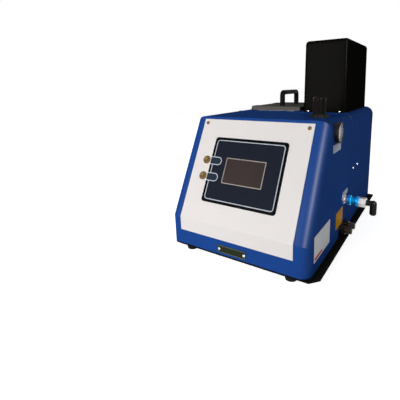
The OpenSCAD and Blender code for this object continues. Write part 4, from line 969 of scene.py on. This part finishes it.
def add_number(bm, word, x, y, seat):
    """A plain number on a face, made a mesh before it is placed."""
    curve = bpy.data.curves.new("number", "FONT")
    curve.body = word
    curve.size = NUMBER_SIZE
    curve.align_x = "CENTER"
    curve.align_y = "CENTER"
    curve.extrude = INK_T / 2
    holder = bpy.data.objects.new("number", curve)
    mesh = bpy.data.meshes.new_from_object(holder)
    part = bmesh.new()
    part.from_mesh(mesh)
    bmesh.ops.translate(part, vec=(x, y, seat + INK_T / 2), verts=part.verts)
    join_into(bm, part)
    for block, store in ((holder, bpy.data.objects), (mesh, bpy.data.meshes), (curve, bpy.data.curves)):
        store.remove(block)


scale = bmesh.new()
for step in range(MARKS):
    turn = scale_sweep * (0.5 - step / (MARKS - 1))
    long_mark = step % LONG_EVERY == 0
    length, width = MARK_LONG if long_mark else MARK_SHORT
    mark = plate(width, length, (0, dial_r - SCALE_EDGE - length / 2, 0), width / 4, INK_T)
    swing = Matrix.Rotation(turn, 3, "Z")
    bmesh.ops.rotate(mark, verts=mark.verts, matrix=swing)
    bmesh.ops.translate(mark, verts=mark.verts, vec=(dial_mid.x, dial_mid.y, dial_hi.z))
    join_into(scale, mark)
    if long_mark:
        spot = dial_mid + swing @ ((dial_r - NUMBER_IN) * Y)
        add_number(scale, str(step // STEPS_PER_UNIT), spot.x, spot.y, dial_hi.z)
make_piece("gauge_scale", scale, right, needle_black)

# %% [markdown]
# ## Floor
# A machine is photographed on a sheet of pale paper that shows no more than a soft shadow. The paper here
# glows for whatever looks at it, the camera or a mirror, so it fades into the white behind it. It throws
# none of that glow on the machine.

# %% Floor
FLOOR_SIZE = 6.0
FLOOR_GLOW = 0.83
FLOOR_GREY = (0.86, 0.86, 0.86, 1)
BLACK, WHITE = (0, 0, 0, 1), (1, 1, 1, 1)


def seen_or_mirrored(tree):
    """1 where the camera looks, straight or by way of metal or glass, and 0 for the light that is thrown."""
    seen = tree.add("ShaderNodeLightPath", output="Is Camera Ray")
    return seen | seen.other("Is Glossy Ray") | seen.other("Is Transmission Ray")


floor_bm = bmesh.new()
bmesh.ops.create_grid(floor_bm, x_segments=1, y_segments=1, size=FLOOR_SIZE / 2)
floor_mesh = bpy.data.meshes.new("floor")
floor_bm.to_mesh(floor_mesh)
floor_bm.free()
floor = bpy.data.objects.new("floor", floor_mesh)
bpy.context.scene.collection.objects.link(floor)
floor_pale = Finish("floor_pale", "panel_white", Roughness=0.9, Specular_IOR_Level=0.0)
floor_pale.wear(Base_Color=FLOOR_GREY, Emission_Strength=FLOOR_GLOW)
floor_pale.wear(Emission_Color=floor_pale.blend(seen_or_mirrored(floor_pale), BLACK, WHITE))
floor_mesh.materials.append(floor_pale.material)
print("floor", FLOOR_SIZE, "m wide")

# %% [markdown]
# ## Light
# A large soft box in front and to the left lights the panel, and weaker ones fill in the right side and
# the back. A tall strip on the right draws the bright streak along the slanted bend of the hood. It
# stands where the middle of the bend mirrors it to the camera, and it is seen in reflections alone, as a
# strip behind a screen would be. The world is white for what the camera sees and for reflections, and dim
# for the light that it throws. A lamp's level is how bright it makes a white sheet that faces it in the
# machine's middle, so levels can be compared at any distance.

# %% World and soft boxes
AMBIENT = 0.17
SIDE_WAY = Vector((0.83, -0.39, 0.41))
SIDE_AWAY = 2.2

world = bpy.data.worlds.new("studio")
bpy.context.scene.world = world
sky = Tree(world)
sky.feed(sky.nodes["Background"].inputs["Color"], WHITE)
sky.feed(sky.nodes["Background"].inputs["Strength"], AMBIENT + (1 - AMBIENT) * seen_or_mirrored(sky))
machine_mid = (cad_box[0] + cad_box[1]) / 2


def soft_box(name, at, size, level, lights=True, mirrored=True):
    """An area lamp that lights a white sheet in the machine's middle to that level."""
    lamp = bpy.data.lights.new(name, "AREA")
    lamp.shape = "RECTANGLE"
    lamp.size, lamp.size_y = size
    way = machine_mid - Vector(at)
    lamp.energy = level * (math.pi * way.length) ** 2
    holder = bpy.data.objects.new(name, lamp)
    holder.matrix_world = Matrix.Translation(at) @ way.to_track_quat("-Z", "Y").to_matrix().to_4x4()
    holder.visible_diffuse = lights
    holder.visible_glossy = mirrored
    bpy.context.scene.collection.objects.link(holder)
    print(name, "lamp of", round(lamp.energy, 1), "W")


soft_box("streak", (1.50, -1.52, 1.24), (0.6, 1.2), 3.0, lights=False)
soft_box("key", (-0.9, -2.3, 0.7), (1.4, 1.2), 0.66)
soft_box("side", machine_mid + SIDE_AWAY * SIDE_WAY, (1.2, 0.9), 0.11)
soft_box("back", (-0.9, 2.2, 1.3), (1.2, 1.0), 0.12, mirrored=False)
bpy.context.scene.view_settings.view_transform = "Standard"
